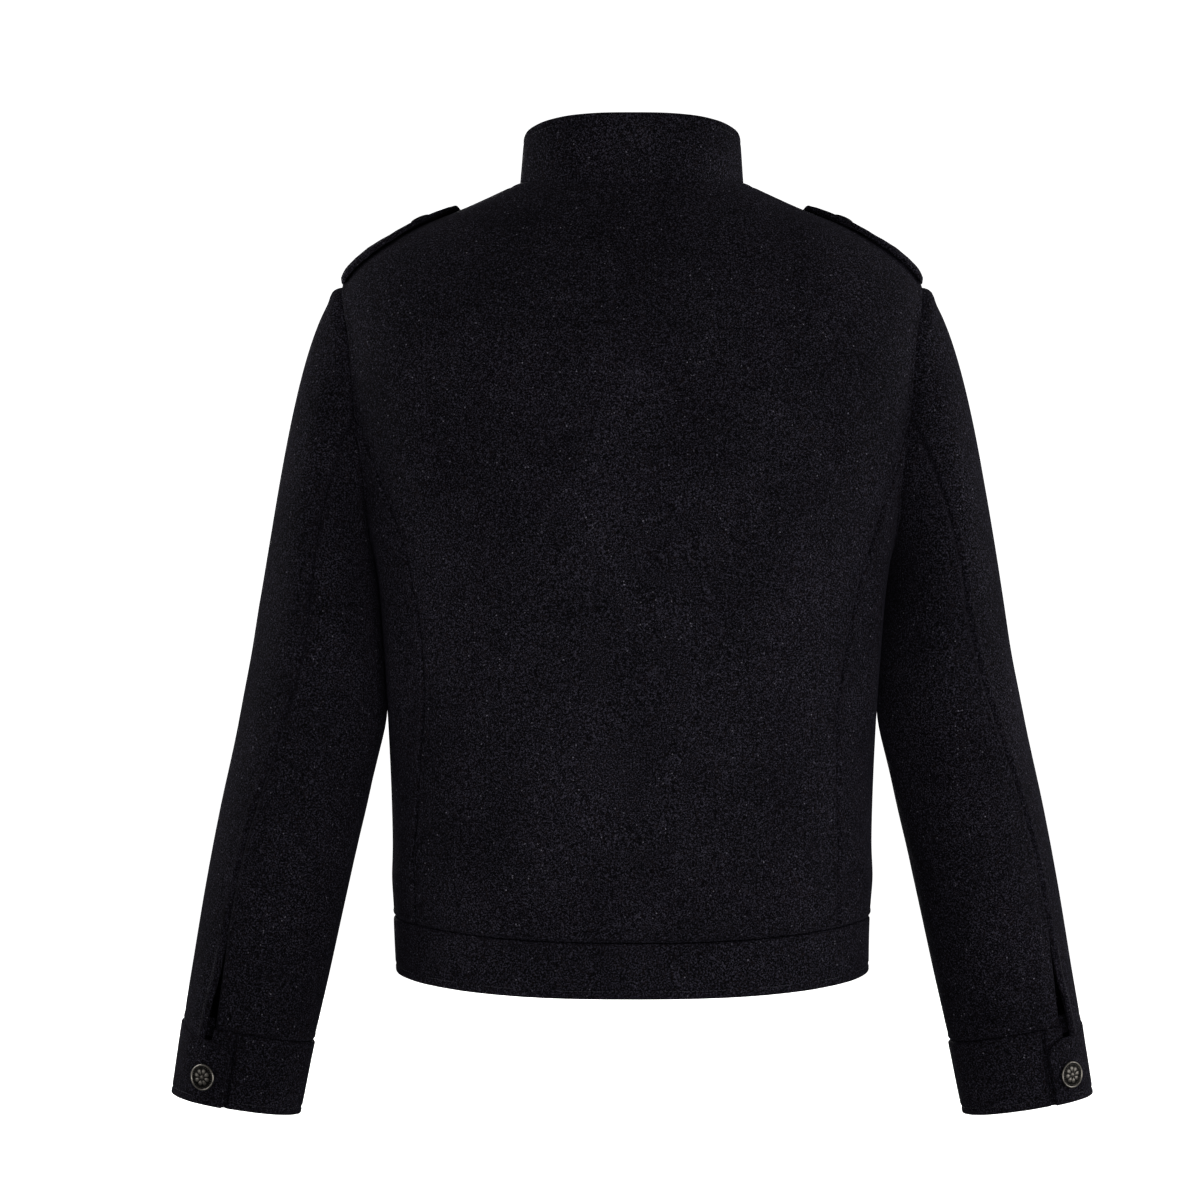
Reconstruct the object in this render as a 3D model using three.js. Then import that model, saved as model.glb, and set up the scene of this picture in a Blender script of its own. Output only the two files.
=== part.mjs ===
// A short military jacket in black wool melton, filled out as if worn, in millimetres.
// +Z is up, the back faces +Y and the wearer's left is +X. The origin is in the middle of the neck,
// level with the points where the shoulder seams meet the collar.
import * as THREE from 'three';

const { sin, cos, abs, sign, min, max, PI, asin, acos, atan2 } = Math;
const degree = PI / 180;

// Cloth
const clothWall = 2.2; // melton with a fused backing
const doubledWall = 4; // collar, waistband, cuffs and straps are cut double and turned
const seamGap = 0.3;
const edgeRound = 1;

// Heights of the body's main rings, each taken at the side
const waist = -572;
const armpit = -290;
const shoulderTip = -81;
const neck = 0;

// Rings of the body, from the waist seam to the neck. side, back and front are a ring's heights at the side,
// the back centre and the front centre. half is its half width, behind and ahead are its depths, and square
// is the power of its superellipse.
const bodySections = [
  { name: 'waist seam', side: -572, back: -585, front: -579, half: 186, behind: 120, ahead: 114, square: 2.5 },
  { name: 'blouse', side: -552, back: -562, front: -557, half: 186.8, behind: 125.5, ahead: 118, square: 2.5 },
  { name: 'lower ribs', side: -510, back: -517, front: -513, half: 187, behind: 129, ahead: 120, square: 2.5 },
  { name: 'ribs', side: -440, back: -442, front: -441, half: 189.5, behind: 130, ahead: 121, square: 2.45 },
  { name: 'chest', side: -370, back: -370, front: -370, half: 194, behind: 131, ahead: 123, square: 2.4 },
  { name: 'underarm', side: -300, back: -298, front: -300, half: 201, behind: 131, ahead: 124, square: 2.4 },
  { name: 'blades', side: -240, back: -238, front: -240, half: 214, behind: 129, ahead: 121, square: 2.4 },
  { name: 'mid armhole', side: -180, back: -182, front: -184, half: 226, behind: 123.5, ahead: 113, square: 2.4 },
  { name: 'across back', side: -125, back: -137, front: -140, half: 230, behind: 115, ahead: 101, square: 2.3 },
  { name: 'shoulder tip', side: -81, back: -101, front: -115, half: 226, behind: 105, ahead: 92, square: 2.15 },
  { name: 'shoulder bend', side: -63, back: -86, front: -104, half: 214, behind: 100, ahead: 88, square: 2.1 },
  { name: 'outer shoulder', side: -48, back: -71, front: -94, half: 193, behind: 94, ahead: 84, square: 2.1 },
  { name: 'mid shoulder', side: -34, back: -54, front: -84, half: 166, behind: 85.5, ahead: 79, square: 2.1 },
  { name: 'inner shoulder', side: -22, back: -35, front: -75, half: 136, behind: 75.5, ahead: 74, square: 2.1 },
  { name: 'neck', side: 0, back: -5, front: -60, half: 87.5, behind: 58, ahead: 66, square: 2.2 },
];

// Soft ridges and troughs of the hanging cloth. x and z are a fold's middle, seen from behind or in front,
// lean turns its top towards +X from upright, length and width are half sizes, and out is its height.
const folds = [
  { name: 'hollow of the spine', face: 'back', x: -8, z: -235, lean: 0, length: 170, width: 40, out: -3.5 },
  { name: 'left blade ridge', face: 'back', x: 72, z: -285, lean: -5, length: 170, width: 34, out: 3 },
  { name: 'left underarm trough', face: 'back', x: 133, z: -245, lean: -28, length: 120, width: 28, out: -3 },
  { name: 'right blade ridge', face: 'back', x: -112, z: -300, lean: 12, length: 150, width: 38, out: 3 },
  { name: 'right waist trough', face: 'back', x: -126, z: -382, lean: 40, length: 80, width: 13, out: -2.6 },
  { name: 'left waist ridge', face: 'back', x: 168, z: -522, lean: -32, length: 42, width: 9, out: 2.4 },
  { name: 'right waist ridge', face: 'back', x: -172, z: -524, lean: 30, length: 42, width: 9, out: 2.2 },
  { name: 'left front drape', face: 'front', x: 105, z: -330, lean: 14, length: 160, width: 30, out: 3 },
  { name: 'right front drape', face: 'front', x: -112, z: -350, lean: -12, length: 150, width: 28, out: 3 },
  { name: 'left front trough', face: 'front', x: 135, z: -250, lean: 30, length: 90, width: 18, out: -3 },
  { name: 'right front trough', face: 'front', x: -138, z: -262, lean: -28, length: 90, width: 18, out: -3 },
];

// Seams between the back and the side panels: how far out they lie on each side at each height
const princessSeam = [
  { z: -585, left: 167, right: 158 },
  { z: -541, left: 168, right: 157.5 },
  { z: -500, left: 166, right: 157 },
  { z: -446, left: 163.5, right: 156.5 },
  { z: -417, left: 160.5, right: 156.5 },
  { z: -370, left: 161.5, right: 162 },
  { z: -340, left: 164.6, right: 168 },
  { z: -309, left: 171.4, right: 175 },
  { z: -283, left: 177, right: 183 },
  { z: -258, left: 185.5, right: 191 },
  { z: -237, left: 194, right: 200 },
];

// Armhole, an upright egg seen from the side
const armholeMiddle = (shoulderTip + armpit) / 2;
const armholeHalfHeight = (shoulderTip - armpit) / 2;
const armholeDepth = { back: 50, front: 54 };
const armholeSquareness = 2.1;
const armholeSteps = 12;
const princessStep = 6; // the step of the armhole where the princess seam meets it
const princessTip = 4; // the side panel's point stops this far below the meeting
const seamPull = 0.4; // share of a panel over which its columns bend towards a seam
const backTurns = [-1.25, 1.25]; // between these the back panel's columns are spread
const frontTurns = [1.75, PI + 0.06];

// How the sleeve cloth leaves the armhole, around it from the top over the back, and how firmly it holds
const leaving = [
  { angle: 0, out: 0.85, back: 0, down: 0.53, hold: 0.42 },
  { angle: 90, out: 0.45, back: 0.24, down: 0.86, hold: 0.75 },
  { angle: 180, out: 0.01, back: 0, down: 1, hold: 0.9 },
  { angle: 270, out: 0.65, back: -0.3, down: 0.7, hold: 0.75 },
  { angle: 360, out: 0.85, back: 0, down: 0.53, hold: 0.42 },
];

// Rings of the arm: how far down their middle is, their reach towards and away from the body, their half
// depth, how far back their middle lies, and how far their outer side is tipped up.
const armSections = [
  { name: 'upper arm', down: 335, inner: 196.2, outer: 291.5, halfDepth: 67, back: 1, tip: 9 },
  { name: 'biceps', down: 380, inner: 191.4, outer: 299, halfDepth: 67, back: 0, tip: 10 },
  { name: 'below the biceps', down: 408, inner: 192.2, outer: 304.8, halfDepth: 66.5, back: -1, tip: 10.7 },
  { name: 'above elbow', down: 440, inner: 198.6, outer: 311.4, halfDepth: 65, back: -2, tip: 11 },
  { name: 'elbow', down: 500, inner: 211.5, outer: 325, halfDepth: 61, back: -7, tip: 11.3 },
  { name: 'forearm', down: 560, inner: 225, outer: 337, halfDepth: 56, back: -14, tip: 11.3 },
  { name: 'lower forearm', down: 620, inner: 238.5, outer: 347.5, halfDepth: 51, back: -21, tip: 11 },
  { name: 'cuff seam', down: 664, inner: 248.8, outer: 355, halfDepth: 47, back: -26, tip: 10.5 },
  { name: 'cuff end', down: 725, inner: 262, outer: 364.5, halfDepth: 44, back: -32, tip: 9.5 },
];

// Elbow seam, measured around the arm from its outer side over the back, with each sleeve's own turn
const elbowSeam = [
  { down: 335, angle: 79, turn: 5.5 },
  { down: 433, angle: 63.5, turn: 6.5 },
  { down: 520, angle: 53, turn: 7 },
  { down: 600, angle: 51, turn: 7 },
  { down: 664, angle: 54, turn: 6 },
  { down: 722, angle: 54.5, turn: 5 },
];
const elbowSeamStart = 90; // where each seam of the sleeve leaves the armhole
const frontSeamStart = 250;
const frontSeam = 245;
const capSteps = 6;
const armSteps = 11;
const ventTop = 598;
const ventOpening = 6;
const ventDip = 9; // the top sleeve runs this much lower where it meets the vent
const ventDipStart = 0.55; // across the top sleeve
const ventDipRows = 2.5; // rows above the cuff over which the cloth runs down to it
const capClearance = 0.9; // share of a seam gap at which the sleeve starts off the armhole

// Bands. Each band's outer end rises over its inner end, rise and riseSpan being turns around the band.
const lapGap = 0.4; // between a band's two ends
const cuff = {
  top: 664, bottom: 723.5, overlap: 22, proud: 1.2, rise: 50,
  corner: 12, cornerSpan: 20, buttonAt: 0.64, buttonPast: 4, steps: 30, // its button lies past the elbow seam
};
const waistband = { overlapHalf: 20, rise: 0.22, riseSpan: 0.4, steps: 44 };
const waistbandSections = [
  { name: 'top', side: -572, back: -585, front: -579, slope: 0, half: 186, behind: 120.5, ahead: 115 },
  { name: 'hem', side: -614.5, back: -627.4, front: -617, slope: -6, half: 184.6, behind: 121, ahead: 115 },
];
const waistSquareness = 2.5;
const collarTop = {
  side: 34.5, back: 49.5, front: -17, slope: 15, half: 84.6, behind: 57, ahead: 62, square: 2.75,
};
const collarOpening = 2; // between the ends at the front centre
const collarSteps = 34;

// Fronts, the wearer's left over the right
const frontExtension = 20; // past the front centre
const extensionStart = -10; // side height where the extensions begin, below the collar
const extensionRun = 22; // their corners are rounded over this height
const underlap = clothWall + 0.7;
const underlapFrom = 95;
const underlapTo = 48;

// Shoulder straps, laid from the armhole towards the neck, bowed a little back between their ends
const strap = {
  outerEnd: -79.5, innerEnd: -21.5, outerMiddle: -8, innerMiddle: -19, outerHalfWidth: 27, innerHalfWidth: 22,
  bow: 11,
  point: 0.84, pointNarrowing: 0.5, lift: 0.9, edgeLift: 0.8, endLift: 1, buttonAt: 0.8, steps: 12, across: 8,
};

// Buttons: a shank, a back plate, a raised rim and a low dome. Heights are above the cloth, and radii marked
// as shares are of the button's own radius.
const buttonRadius = 10.5;
const smallButtonRadius = 8.5;
const buttonSides = 12;
const buttonFoot = 0.3;
const buttonBack = 1.1;
const plateShare = 0.16;
const domeHeight = 0.8;
const rimHeight = 0.2;
const shankShare = 0.3;
const rimShare = 0.86;
const troughShare = 0.8;
const crownShare = 0.45;
const frontButtonHeights = [-104, -212, -320, -428, -536];

const wool = new THREE.MeshStandardMaterial({ color: 0x15151b, roughness: 0.95, metalness: 0 });
const pewter = new THREE.MeshStandardMaterial({ color: 0x8c8984, roughness: 0.4, metalness: 0.9 });
const jacket = new THREE.Group();

function mix(a, b, t) {
  return a + (b - a) * t;
}

function ease(t) {
  const held = min(max(t, 0), 1);
  return held * held * (3 - 2 * held);
}

function signedPower(value, power) {
  return sign(value) * abs(value) ** power;
}

// Reads a column of a table between its rows, along a smooth curve
function along(table, key, at, column) {
  const end = table.length - 1;
  let row = 0;
  while (row < end - 1 && at > table[row + 1][key]) row += 1;
  const span = (i) => table[i + 1][key] - table[i][key];
  const slope = (i) => (table[i + 1][column] - table[i][column]) / span(i);
  const tangent = (i) => {
    if (i === 0) return slope(0);
    if (i === end) return slope(end - 1);
    return (span(i) * slope(i - 1) + span(i - 1) * slope(i)) / (span(i - 1) + span(i));
  };
  const h = span(row);
  const t = (at - table[row][key]) / h;
  const value = table[row][column] * (1 + 2 * t) * (1 - t) ** 2 + table[row + 1][column] * t * t * (3 - 2 * t);
  return value + h * tangent(row) * t * (1 - t) ** 2 + h * tangent(row + 1) * t * t * (t - 1);
}

// A closed body between a grid of face points and the same grid of lining points
function wallSolid(face, lining) {
  const rows = face.length;
  const columns = face[0].length;
  const points = [...face.flat(), ...lining.flat()];
  const at = (row, column, layer) => layer * rows * columns + row * columns + column;
  const faces = [];
  const quad = (a, b, c, d) => faces.push([a, b, c], [a, c, d]);
  for (let r = 0; r < rows - 1; r += 1) {
    for (let c = 0; c < columns - 1; c += 1) {
      quad(at(r, c, 0), at(r, c + 1, 0), at(r + 1, c + 1, 0), at(r + 1, c, 0));
      quad(at(r, c, 1), at(r + 1, c, 1), at(r + 1, c + 1, 1), at(r, c + 1, 1));
    }
    quad(at(r, 0, 0), at(r + 1, 0, 0), at(r + 1, 0, 1), at(r, 0, 1));
    quad(at(r, columns - 1, 0), at(r, columns - 1, 1), at(r + 1, columns - 1, 1), at(r + 1, columns - 1, 0));
  }
  for (let c = 0; c < columns - 1; c += 1) {
    quad(at(0, c, 0), at(0, c, 1), at(0, c + 1, 1), at(0, c + 1, 0));
    quad(at(rows - 1, c, 0), at(rows - 1, c + 1, 0), at(rows - 1, c + 1, 1), at(rows - 1, c, 1));
  }
  return closedGeometry(points, faces);
}

// A closed body swept through a row of closed profiles, with a flat cap on each end
function bandSolid(profiles) {
  const size = profiles[0].length;
  const points = profiles.flat();
  const faces = [];
  for (let i = 0; i < profiles.length - 1; i += 1) {
    for (let k = 0; k < size; k += 1) {
      const next = (k + 1) % size;
      const a = i * size + k;
      const b = i * size + next;
      faces.push([a, b, b + size], [a, b + size, a + size]);
    }
  }
  const last = (profiles.length - 1) * size;
  for (let k = 1; k < size - 1; k += 1) {
    faces.push([0, k + 1, k], [last, last + k, last + k + 1]);
  }
  return closedGeometry(points, faces);
}

// Turns the faces outwards, by the sign of the volume they hold
function closedGeometry(points, faces) {
  const volume = faces.reduce((sum, [a, b, c]) => {
    const across = new THREE.Vector3().crossVectors(points[b], points[c]);
    return sum + points[a].dot(across);
  }, 0);
  const geometry = new THREE.BufferGeometry();
  geometry.setFromPoints(points);
  geometry.setIndex(faces.flatMap(([a, b, c]) => (volume > 0 ? [a, b, c] : [a, c, b])));
  geometry.computeVertexNormals();
  return geometry;
}

function mirrored(point) {
  return new THREE.Vector3(-point.x, point.y, point.z);
}

function add(name, geometry, material = wool) {
  const mesh = new THREE.Mesh(geometry, material);
  mesh.name = name;
  jacket.add(mesh);
}

// A point of the body's ring at a side height. turn runs from the back centre (0) over the wearer's left.
function ringPoint(turn, side) {
  const read = (column) => along(bodySections, 'side', side, column);
  const atBack = cos(turn) >= 0;
  const power = 2 / read('square');
  const drop = read(atBack ? 'back' : 'front') - side;
  return new THREE.Vector3(
    read('half') * signedPower(sin(turn), power),
    read(atBack ? 'behind' : 'ahead') * signedPower(cos(turn), power),
    side + drop * cos(turn) ** 2,
  );
}

function bodyNormal(turn, side) {
  const turnStep = 0.004;
  const sideStep = 0.5;
  const around = ringPoint(turn + turnStep, side).sub(ringPoint(turn - turnStep, side));
  const up = ringPoint(turn, side + sideStep).sub(ringPoint(turn, side - sideStep));
  return up.cross(around).normalize();
}

function foldHeight(point) {
  const face = point.y > 0 ? 'back' : 'front';
  return folds.filter((fold) => fold.face === face).reduce((sum, fold) => {
    const x = point.x - fold.x;
    const z = point.z - fold.z;
    const lean = fold.lean * degree;
    const lengthwise = (x * sin(lean) + z * cos(lean)) / fold.length;
    const across = (x * cos(lean) - z * sin(lean)) / fold.width;
    return sum + fold.out * Math.exp(-across * across) * max(0, 1 - lengthwise * lengthwise) ** 2;
  }, 0);
}

function bodyPoint(turn, side, out = 0) {
  const point = ringPoint(turn, side);
  return point.addScaledVector(bodyNormal(turn, side), out + foldHeight(point));
}

// Halves the span of turns until the test changes sign within it
function solveTurn(test, inside, outside) {
  let low = inside;
  let high = outside;
  for (let i = 0; i < 40; i += 1) {
    const middle = (low + high) / 2;
    if (test(middle) < 0) low = middle;
    else high = middle;
  }
  return (low + high) / 2;
}

// The turn at which a ring crosses the armhole's egg, behind or in front
function armholeTurn(side, face) {
  if (side <= armpit || side >= shoulderTip) return PI / 2;
  const reach = face === 'back' ? -1 : 1;
  return solveTurn((turn) => {
    const point = ringPoint(turn, side);
    const y = abs(point.y) / armholeDepth[face];
    const z = abs(point.z - armholeMiddle) / armholeHalfHeight;
    return y ** armholeSquareness + z ** armholeSquareness - 1;
  }, PI / 2, PI / 2 + reach);
}

// Side heights of the panels' rows, from the waist seam to the neck
const armholeRows = [];
for (let i = 1; i < armholeSteps; i += 1) {
  armholeRows.unshift(armholeMiddle + armholeHalfHeight * cos((PI * i) / armholeSteps));
}
const princessTop = armholeRows[armholeSteps - 1 - princessStep - 1];
armholeRows.push(princessTop - princessTip);
armholeRows.sort((a, b) => a - b);
const lowerRows = [waist, -562, -550, -532, -505, -470, -430, -390, -350, -318, armpit];
const shoulderRows = [shoulderTip, -72, -63, -54, -45, -36, -28, -20, -10, neck];
const bodyRows = [...lowerRows, ...armholeRows, ...shoulderRows];

// The princess seam's turn at a side height, up to where it meets the armhole
function princessTurn(side, hand) {
  const top = armholeTurn(princessTop, 'back');
  const meeting = ringPoint(top, princessTop);
  const table = [...princessSeam, { z: meeting.z, left: meeting.x, right: meeting.x }];
  const turn = solveTurn((at) => {
    const point = ringPoint(at, side);
    return point.x - along(table, 'z', point.z, hand);
  }, 0, PI / 2);
  return min(turn, armholeTurn(side, 'back'));
}

// The armhole's loop, from the shoulder tip down the back and up the front
const armholeLoop = [
  { side: shoulderTip, face: 'back' },
  ...[...armholeRows].reverse().map((side) => ({ side, face: 'back' })),
  { side: armpit, face: 'back' },
  ...armholeRows.map((side) => ({ side, face: 'front' })),
];
for (const entry of armholeLoop) {
  entry.turn = armholeTurn(entry.side, entry.face);
  entry.point = ringPoint(entry.turn, entry.side);
  entry.normal = bodyNormal(entry.turn, entry.side);
  const y = entry.point.y / armholeDepth[entry.face];
  const z = (entry.point.z - armholeMiddle) / armholeHalfHeight;
  entry.angle = atan2(y, z) / degree;
  if (entry.face === 'front') entry.angle += 360;
  entry.leaving = new THREE.Vector3(
    along(leaving, 'angle', entry.angle, 'out'),
    along(leaving, 'angle', entry.angle, 'back'),
    -along(leaving, 'angle', entry.angle, 'down'),
  ).normalize();
  entry.hold = along(leaving, 'angle', entry.angle, 'hold');
}
const nearestEntry = (angle) => armholeLoop.reduce((best, entry, i) => {
  const closer = abs(entry.angle - angle) < abs(armholeLoop[best].angle - angle);
  return closer ? i : best;
}, 0);
const elbowColumn = nearestEntry(elbowSeamStart);
const frontColumn = nearestEntry(frontSeamStart);

// A point of the arm, by its angle from the outer side over the back
function armPoint(angle, down, out = 0) {
  const read = (column) => along(armSections, 'down', down, column);
  const tip = read('tip') * degree;
  const halfWidth = ((read('outer') - read('inner')) / 2) * cos(tip) + out;
  const outward = halfWidth * cos(angle * degree);
  return new THREE.Vector3(
    (read('inner') + read('outer')) / 2 + outward * cos(tip),
    read('back') + (read('halfDepth') + out) * sin(angle * degree),
    -down + outward * sin(tip),
  );
}

function elbowAngle(down, hand) {
  const turned = hand === 'left' ? 1 : -1;
  return along(elbowSeam, 'down', down, 'angle') + turned * along(elbowSeam, 'down', down, 'turn');
}

// Moves an angle at the armhole to its place around the arm, so that both seams stay on their lines
function armAngle(angle, down, hand) {
  const elbowStart = armholeLoop[elbowColumn].angle;
  const frontStart = armholeLoop[frontColumn].angle;
  const elbow = elbowAngle(down, hand);
  if (angle >= elbowStart && angle <= frontStart) {
    return mix(elbow, frontSeam, (angle - elbowStart) / (frontStart - elbowStart));
  }
  const past = angle < elbowStart ? angle + 360 : angle;
  return mix(frontSeam, elbow + 360, (past - frontStart) / (elbowStart + 360 - frontStart));
}

// The whole sleeve as rows of points, from the armhole to the cuff seam, in the left sleeve's place
function sleeveGrid(hand) {
  const first = armSections[0].down;
  const grid = [];
  for (let i = 0; i < capSteps; i += 1) {
    const t = i / capSteps;
    grid.push(armholeLoop.map((entry) => {
      const angle = armAngle(entry.angle, first, hand);
      const off = entry.normal.clone().add(entry.leaving).multiplyScalar(seamGap * capClearance);
      const start = entry.point.clone().add(off);
      const end = armPoint(angle, first);
      const reach = start.distanceTo(end);
      const into = armPoint(angle, first + 1).sub(end).normalize();
      return start.multiplyScalar((1 + 2 * t) * (1 - t) ** 2)
        .addScaledVector(entry.leaving, reach * entry.hold * t * (1 - t) ** 2)
        .addScaledVector(into, reach * t * t * (t - 1))
        .addScaledVector(end, t * t * (3 - 2 * t));
    }));
  }
  for (let i = 0; i <= armSteps; i += 1) {
    const down = mix(first, cuff.top, i / armSteps);
    grid.push(armholeLoop.map((entry) => armPoint(armAngle(entry.angle, down, hand), down)));
  }
  return grid;
}

// Outward normals of a grid of rings
function tubeNormals(grid) {
  return grid.map((ring, r) => ring.map((point, c) => {
    const count = ring.length;
    const around = ring[(c + 1) % count].clone().sub(ring[(c + count - 1) % count]);
    const below = grid[min(r + 1, grid.length - 1)][c];
    const above = grid[max(r - 1, 0)][c];
    return below.clone().sub(above).cross(around).normalize();
  }));
}

const sleeveGrids = { left: sleeveGrid('left'), right: sleeveGrid('right') };
const sleeveNormals = { left: tubeNormals(sleeveGrids.left), right: tubeNormals(sleeveGrids.right) };

// Where the cloth folds over a seam as a ridge, both walls end on the same mitre
function mitre(normal, otherNormal) {
  const middle = normal.clone().add(otherNormal).normalize();
  return middle.multiplyScalar(-clothWall / middle.dot(normal));
}
for (const [i, entry] of armholeLoop.entries()) {
  if (entry.leaving.dot(entry.normal) < 0) entry.inward = mitre(entry.normal, sleeveNormals.left[0][i]);
}

// The way from the face to the lining at a place on the body
function bodyInward(turn, side) {
  const normal = bodyNormal(turn, side);
  if (side === neck) return mitre(normal, new THREE.Vector3(normal.x, normal.y, 0).normalize());
  const folded = abs(turn > PI ? turn - 2 * PI : turn);
  const entry = armholeLoop.find((one) => one.side === side && abs(one.turn - folded) < 1e-6);
  if (!entry || !entry.inward) return normal.multiplyScalar(-clothWall);
  return turn < 0 || turn > PI ? mirrored(entry.inward) : entry.inward.clone();
}

// Moves the border points of a grid in along the cloth, half a seam gap or the given amount
function holdBack(grid, inward, gaps = {}) {
  const rows = grid.length - 1;
  const columns = grid[0].length - 1;
  const held = grid.map((row) => row.map((point) => point.clone()));
  const shift = (r, c, toR, toC, tangent, amount) => {
    const way = grid[toR][toC].clone().sub(grid[r][c]);
    way.addScaledVector(tangent, -way.dot(tangent) / tangent.lengthSq()).normalize();
    held[r][c].addScaledVector(way, amount);
  };
  for (let r = 0; r <= rows; r += 1) {
    for (const [c, toC, gap] of [[0, 1, gaps.first], [columns, columns - 1, gaps.last]]) {
      const tangent = grid[min(r + 1, rows)][c].clone().sub(grid[max(r - 1, 0)][c]);
      shift(r, c, r, toC, tangent, gap ? gap(r) : seamGap / 2);
    }
  }
  for (let c = 0; c <= columns; c += 1) {
    for (const [r, toR] of [[0, 1], [rows, rows - 1]]) {
      const tangent = grid[r][min(c + 1, columns)].clone().sub(grid[r][max(c - 1, 0)]);
      shift(r, c, toR, c, tangent, seamGap / 2);
    }
  }
  const lining = held.map((row, r) => row.map((point, c) => point.clone().add(inward[r][c])));
  return wallSolid(held, lining);
}

// A panel of the body between two seams, each given as a turn at every side height. Its columns keep to
// the usual turns away from the seams.
function bodyPanel(name, rows, fromTurn, toTurn, columns, usual, moved = () => 0) {
  const grid = [];
  const inward = [];
  const pull = (share) => max(0, 1 - share / seamPull) ** 1.5;
  for (const side of rows) {
    const turns = [];
    for (let c = 0; c <= columns; c += 1) {
      const t = c / columns;
      const [from, to] = usual ?? [fromTurn(side), toTurn(side)];
      const toFirst = (fromTurn(side) - from) * pull(t);
      const toLast = (toTurn(side) - to) * pull(1 - t);
      turns.push(mix(from, to, t) + toFirst + toLast);
    }
    grid.push(turns.map((turn) => bodyPoint(turn, side, moved(turn, side))));
    inward.push(turns.map((turn) => bodyInward(turn, side)));
  }
  add(name, holdBack(grid, inward));
}

function backEdge(side, hand) {
  return side < princessTop ? princessTurn(side, hand) : armholeTurn(side, 'back');
}

function back() {
  const leftEdge = (side) => backEdge(side, 'left');
  const rightEdge = (side) => -backEdge(side, 'right');
  bodyPanel('back_panel', bodyRows, rightEdge, leftEdge, 16, backTurns);
}

function sidePanels() {
  const rows = bodyRows.filter((side) => side < princessTop - princessTip / 2);
  const seam = (side) => armholeTurn(side, 'back');
  bodyPanel('side_panel_left', rows, (side) => princessTurn(side, 'left'), seam, 3);
  bodyPanel('side_panel_right', rows, (side) => -princessTurn(side, 'right'), (side) => -seam(side), 3);
}

// The turn past the front centre at which the front's edge lies
function frontEdge(side) {
  const width = frontExtension * min(1, max(0, extensionStart - side) / extensionRun) ** 0.5;
  const halfWidth = along(bodySections, 'side', side, 'half');
  const power = 2 / along(bodySections, 'side', side, 'square');
  return PI + asin((width / halfWidth) ** (1 / power));
}

function fronts() {
  const seam = (side) => armholeTurn(side, 'front');
  bodyPanel('front_left', bodyRows, seam, frontEdge, 8, frontTurns);
  const under = (turn, side) => {
    const reach = ringPoint(turn, side).x;
    const tuck = ease((underlapFrom + reach) / (underlapFrom - underlapTo));
    return -underlap * tuck * ease(side / extensionStart) * (cos(turn) < 0 ? 1 : 0);
  };
  const rightSeam = (side) => -seam(side);
  const rightEdge = (side) => -frontEdge(side);
  const rightTurns = frontTurns.map((turn) => -turn);
  bodyPanel('front_right', bodyRows, rightSeam, rightEdge, 8, rightTurns, under);
}

// How much lower the top sleeve's end lies, by the share of the way across it towards the vent
function ventDrop(share) {
  return ventDip * ease((share - ventDipStart) / (1 - ventDipStart));
}

// Top and under sleeve, cut from the sleeve's rings between the elbow seam and the front seam
function sleeves() {
  for (const hand of ['left', 'right']) {
    const place = (point) => (hand === 'left' ? point.clone() : mirrored(point));
    const grid = sleeveGrids[hand].map((ring) => ring.map(place));
    const inward = sleeveNormals[hand].map((ring, r) => ring.map((normal, c) => {
      const entry = armholeLoop[c];
      const way = r === 0 && entry.inward ? entry.inward : normal.clone().multiplyScalar(-clothWall);
      return place(way);
    }));
    const cut = (rows, from, to) => rows.map((ring) => {
      const strip = [];
      for (let c = from; c <= to; c += 1) strip.push(ring[c % ring.length]);
      return strip;
    });
    const vent = (row) => {
      const down = mix(armSections[0].down, cuff.top, (row - capSteps) / armSteps);
      return seamGap / 2 + (ventOpening / 2) * ease((down - ventTop) / (cuff.top - ventTop));
    };
    // Lowers the top sleeve's end towards the vent
    const dipped = (strip) => strip.map((row, r) => row.map((point, c) => {
      const drop = ventDrop(c / (row.length - 1)) * ease((r - capSteps - armSteps) / ventDipRows + 1);
      const lengthwise = strip[strip.length - 1][c].clone().sub(strip[strip.length - 2][c]).normalize();
      return point.clone().addScaledVector(lengthwise, drop);
    }));
    const around = armholeLoop.length;
    const under = [elbowColumn, frontColumn];
    const top = [frontColumn, elbowColumn + around];
    add(`sleeve_under_${hand}`, holdBack(cut(grid, ...under), cut(inward, ...under), { first: vent }));
    add(`sleeve_top_${hand}`, holdBack(dipped(cut(grid, ...top)), cut(inward, ...top), { last: vent }));
  }
}

// The closed profile of a doubled band. place(across, out) gives a point, across running from its top (0)
// to its bottom (1), and its long edges are rounded.
function bandProfile(place, height) {
  const round = edgeRound / height;
  const inside = -doubledWall;
  return [
    place(0, inside + edgeRound), place(0, -edgeRound), place(round, 0), place(0.5, 0), place(1 - round, 0),
    place(1, -edgeRound), place(1, inside + edgeRound), place(1 - round, inside), place(round, inside),
  ];
}

// Band cuffs: the end on the top sleeve's side lies over the other and carries the button
function cuffLift(angle, hand) {
  const seam = elbowAngle(cuff.top, hand);
  return (doubledWall + lapGap) * ease((angle - 360 - seam) / cuff.rise + 1);
}

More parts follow.
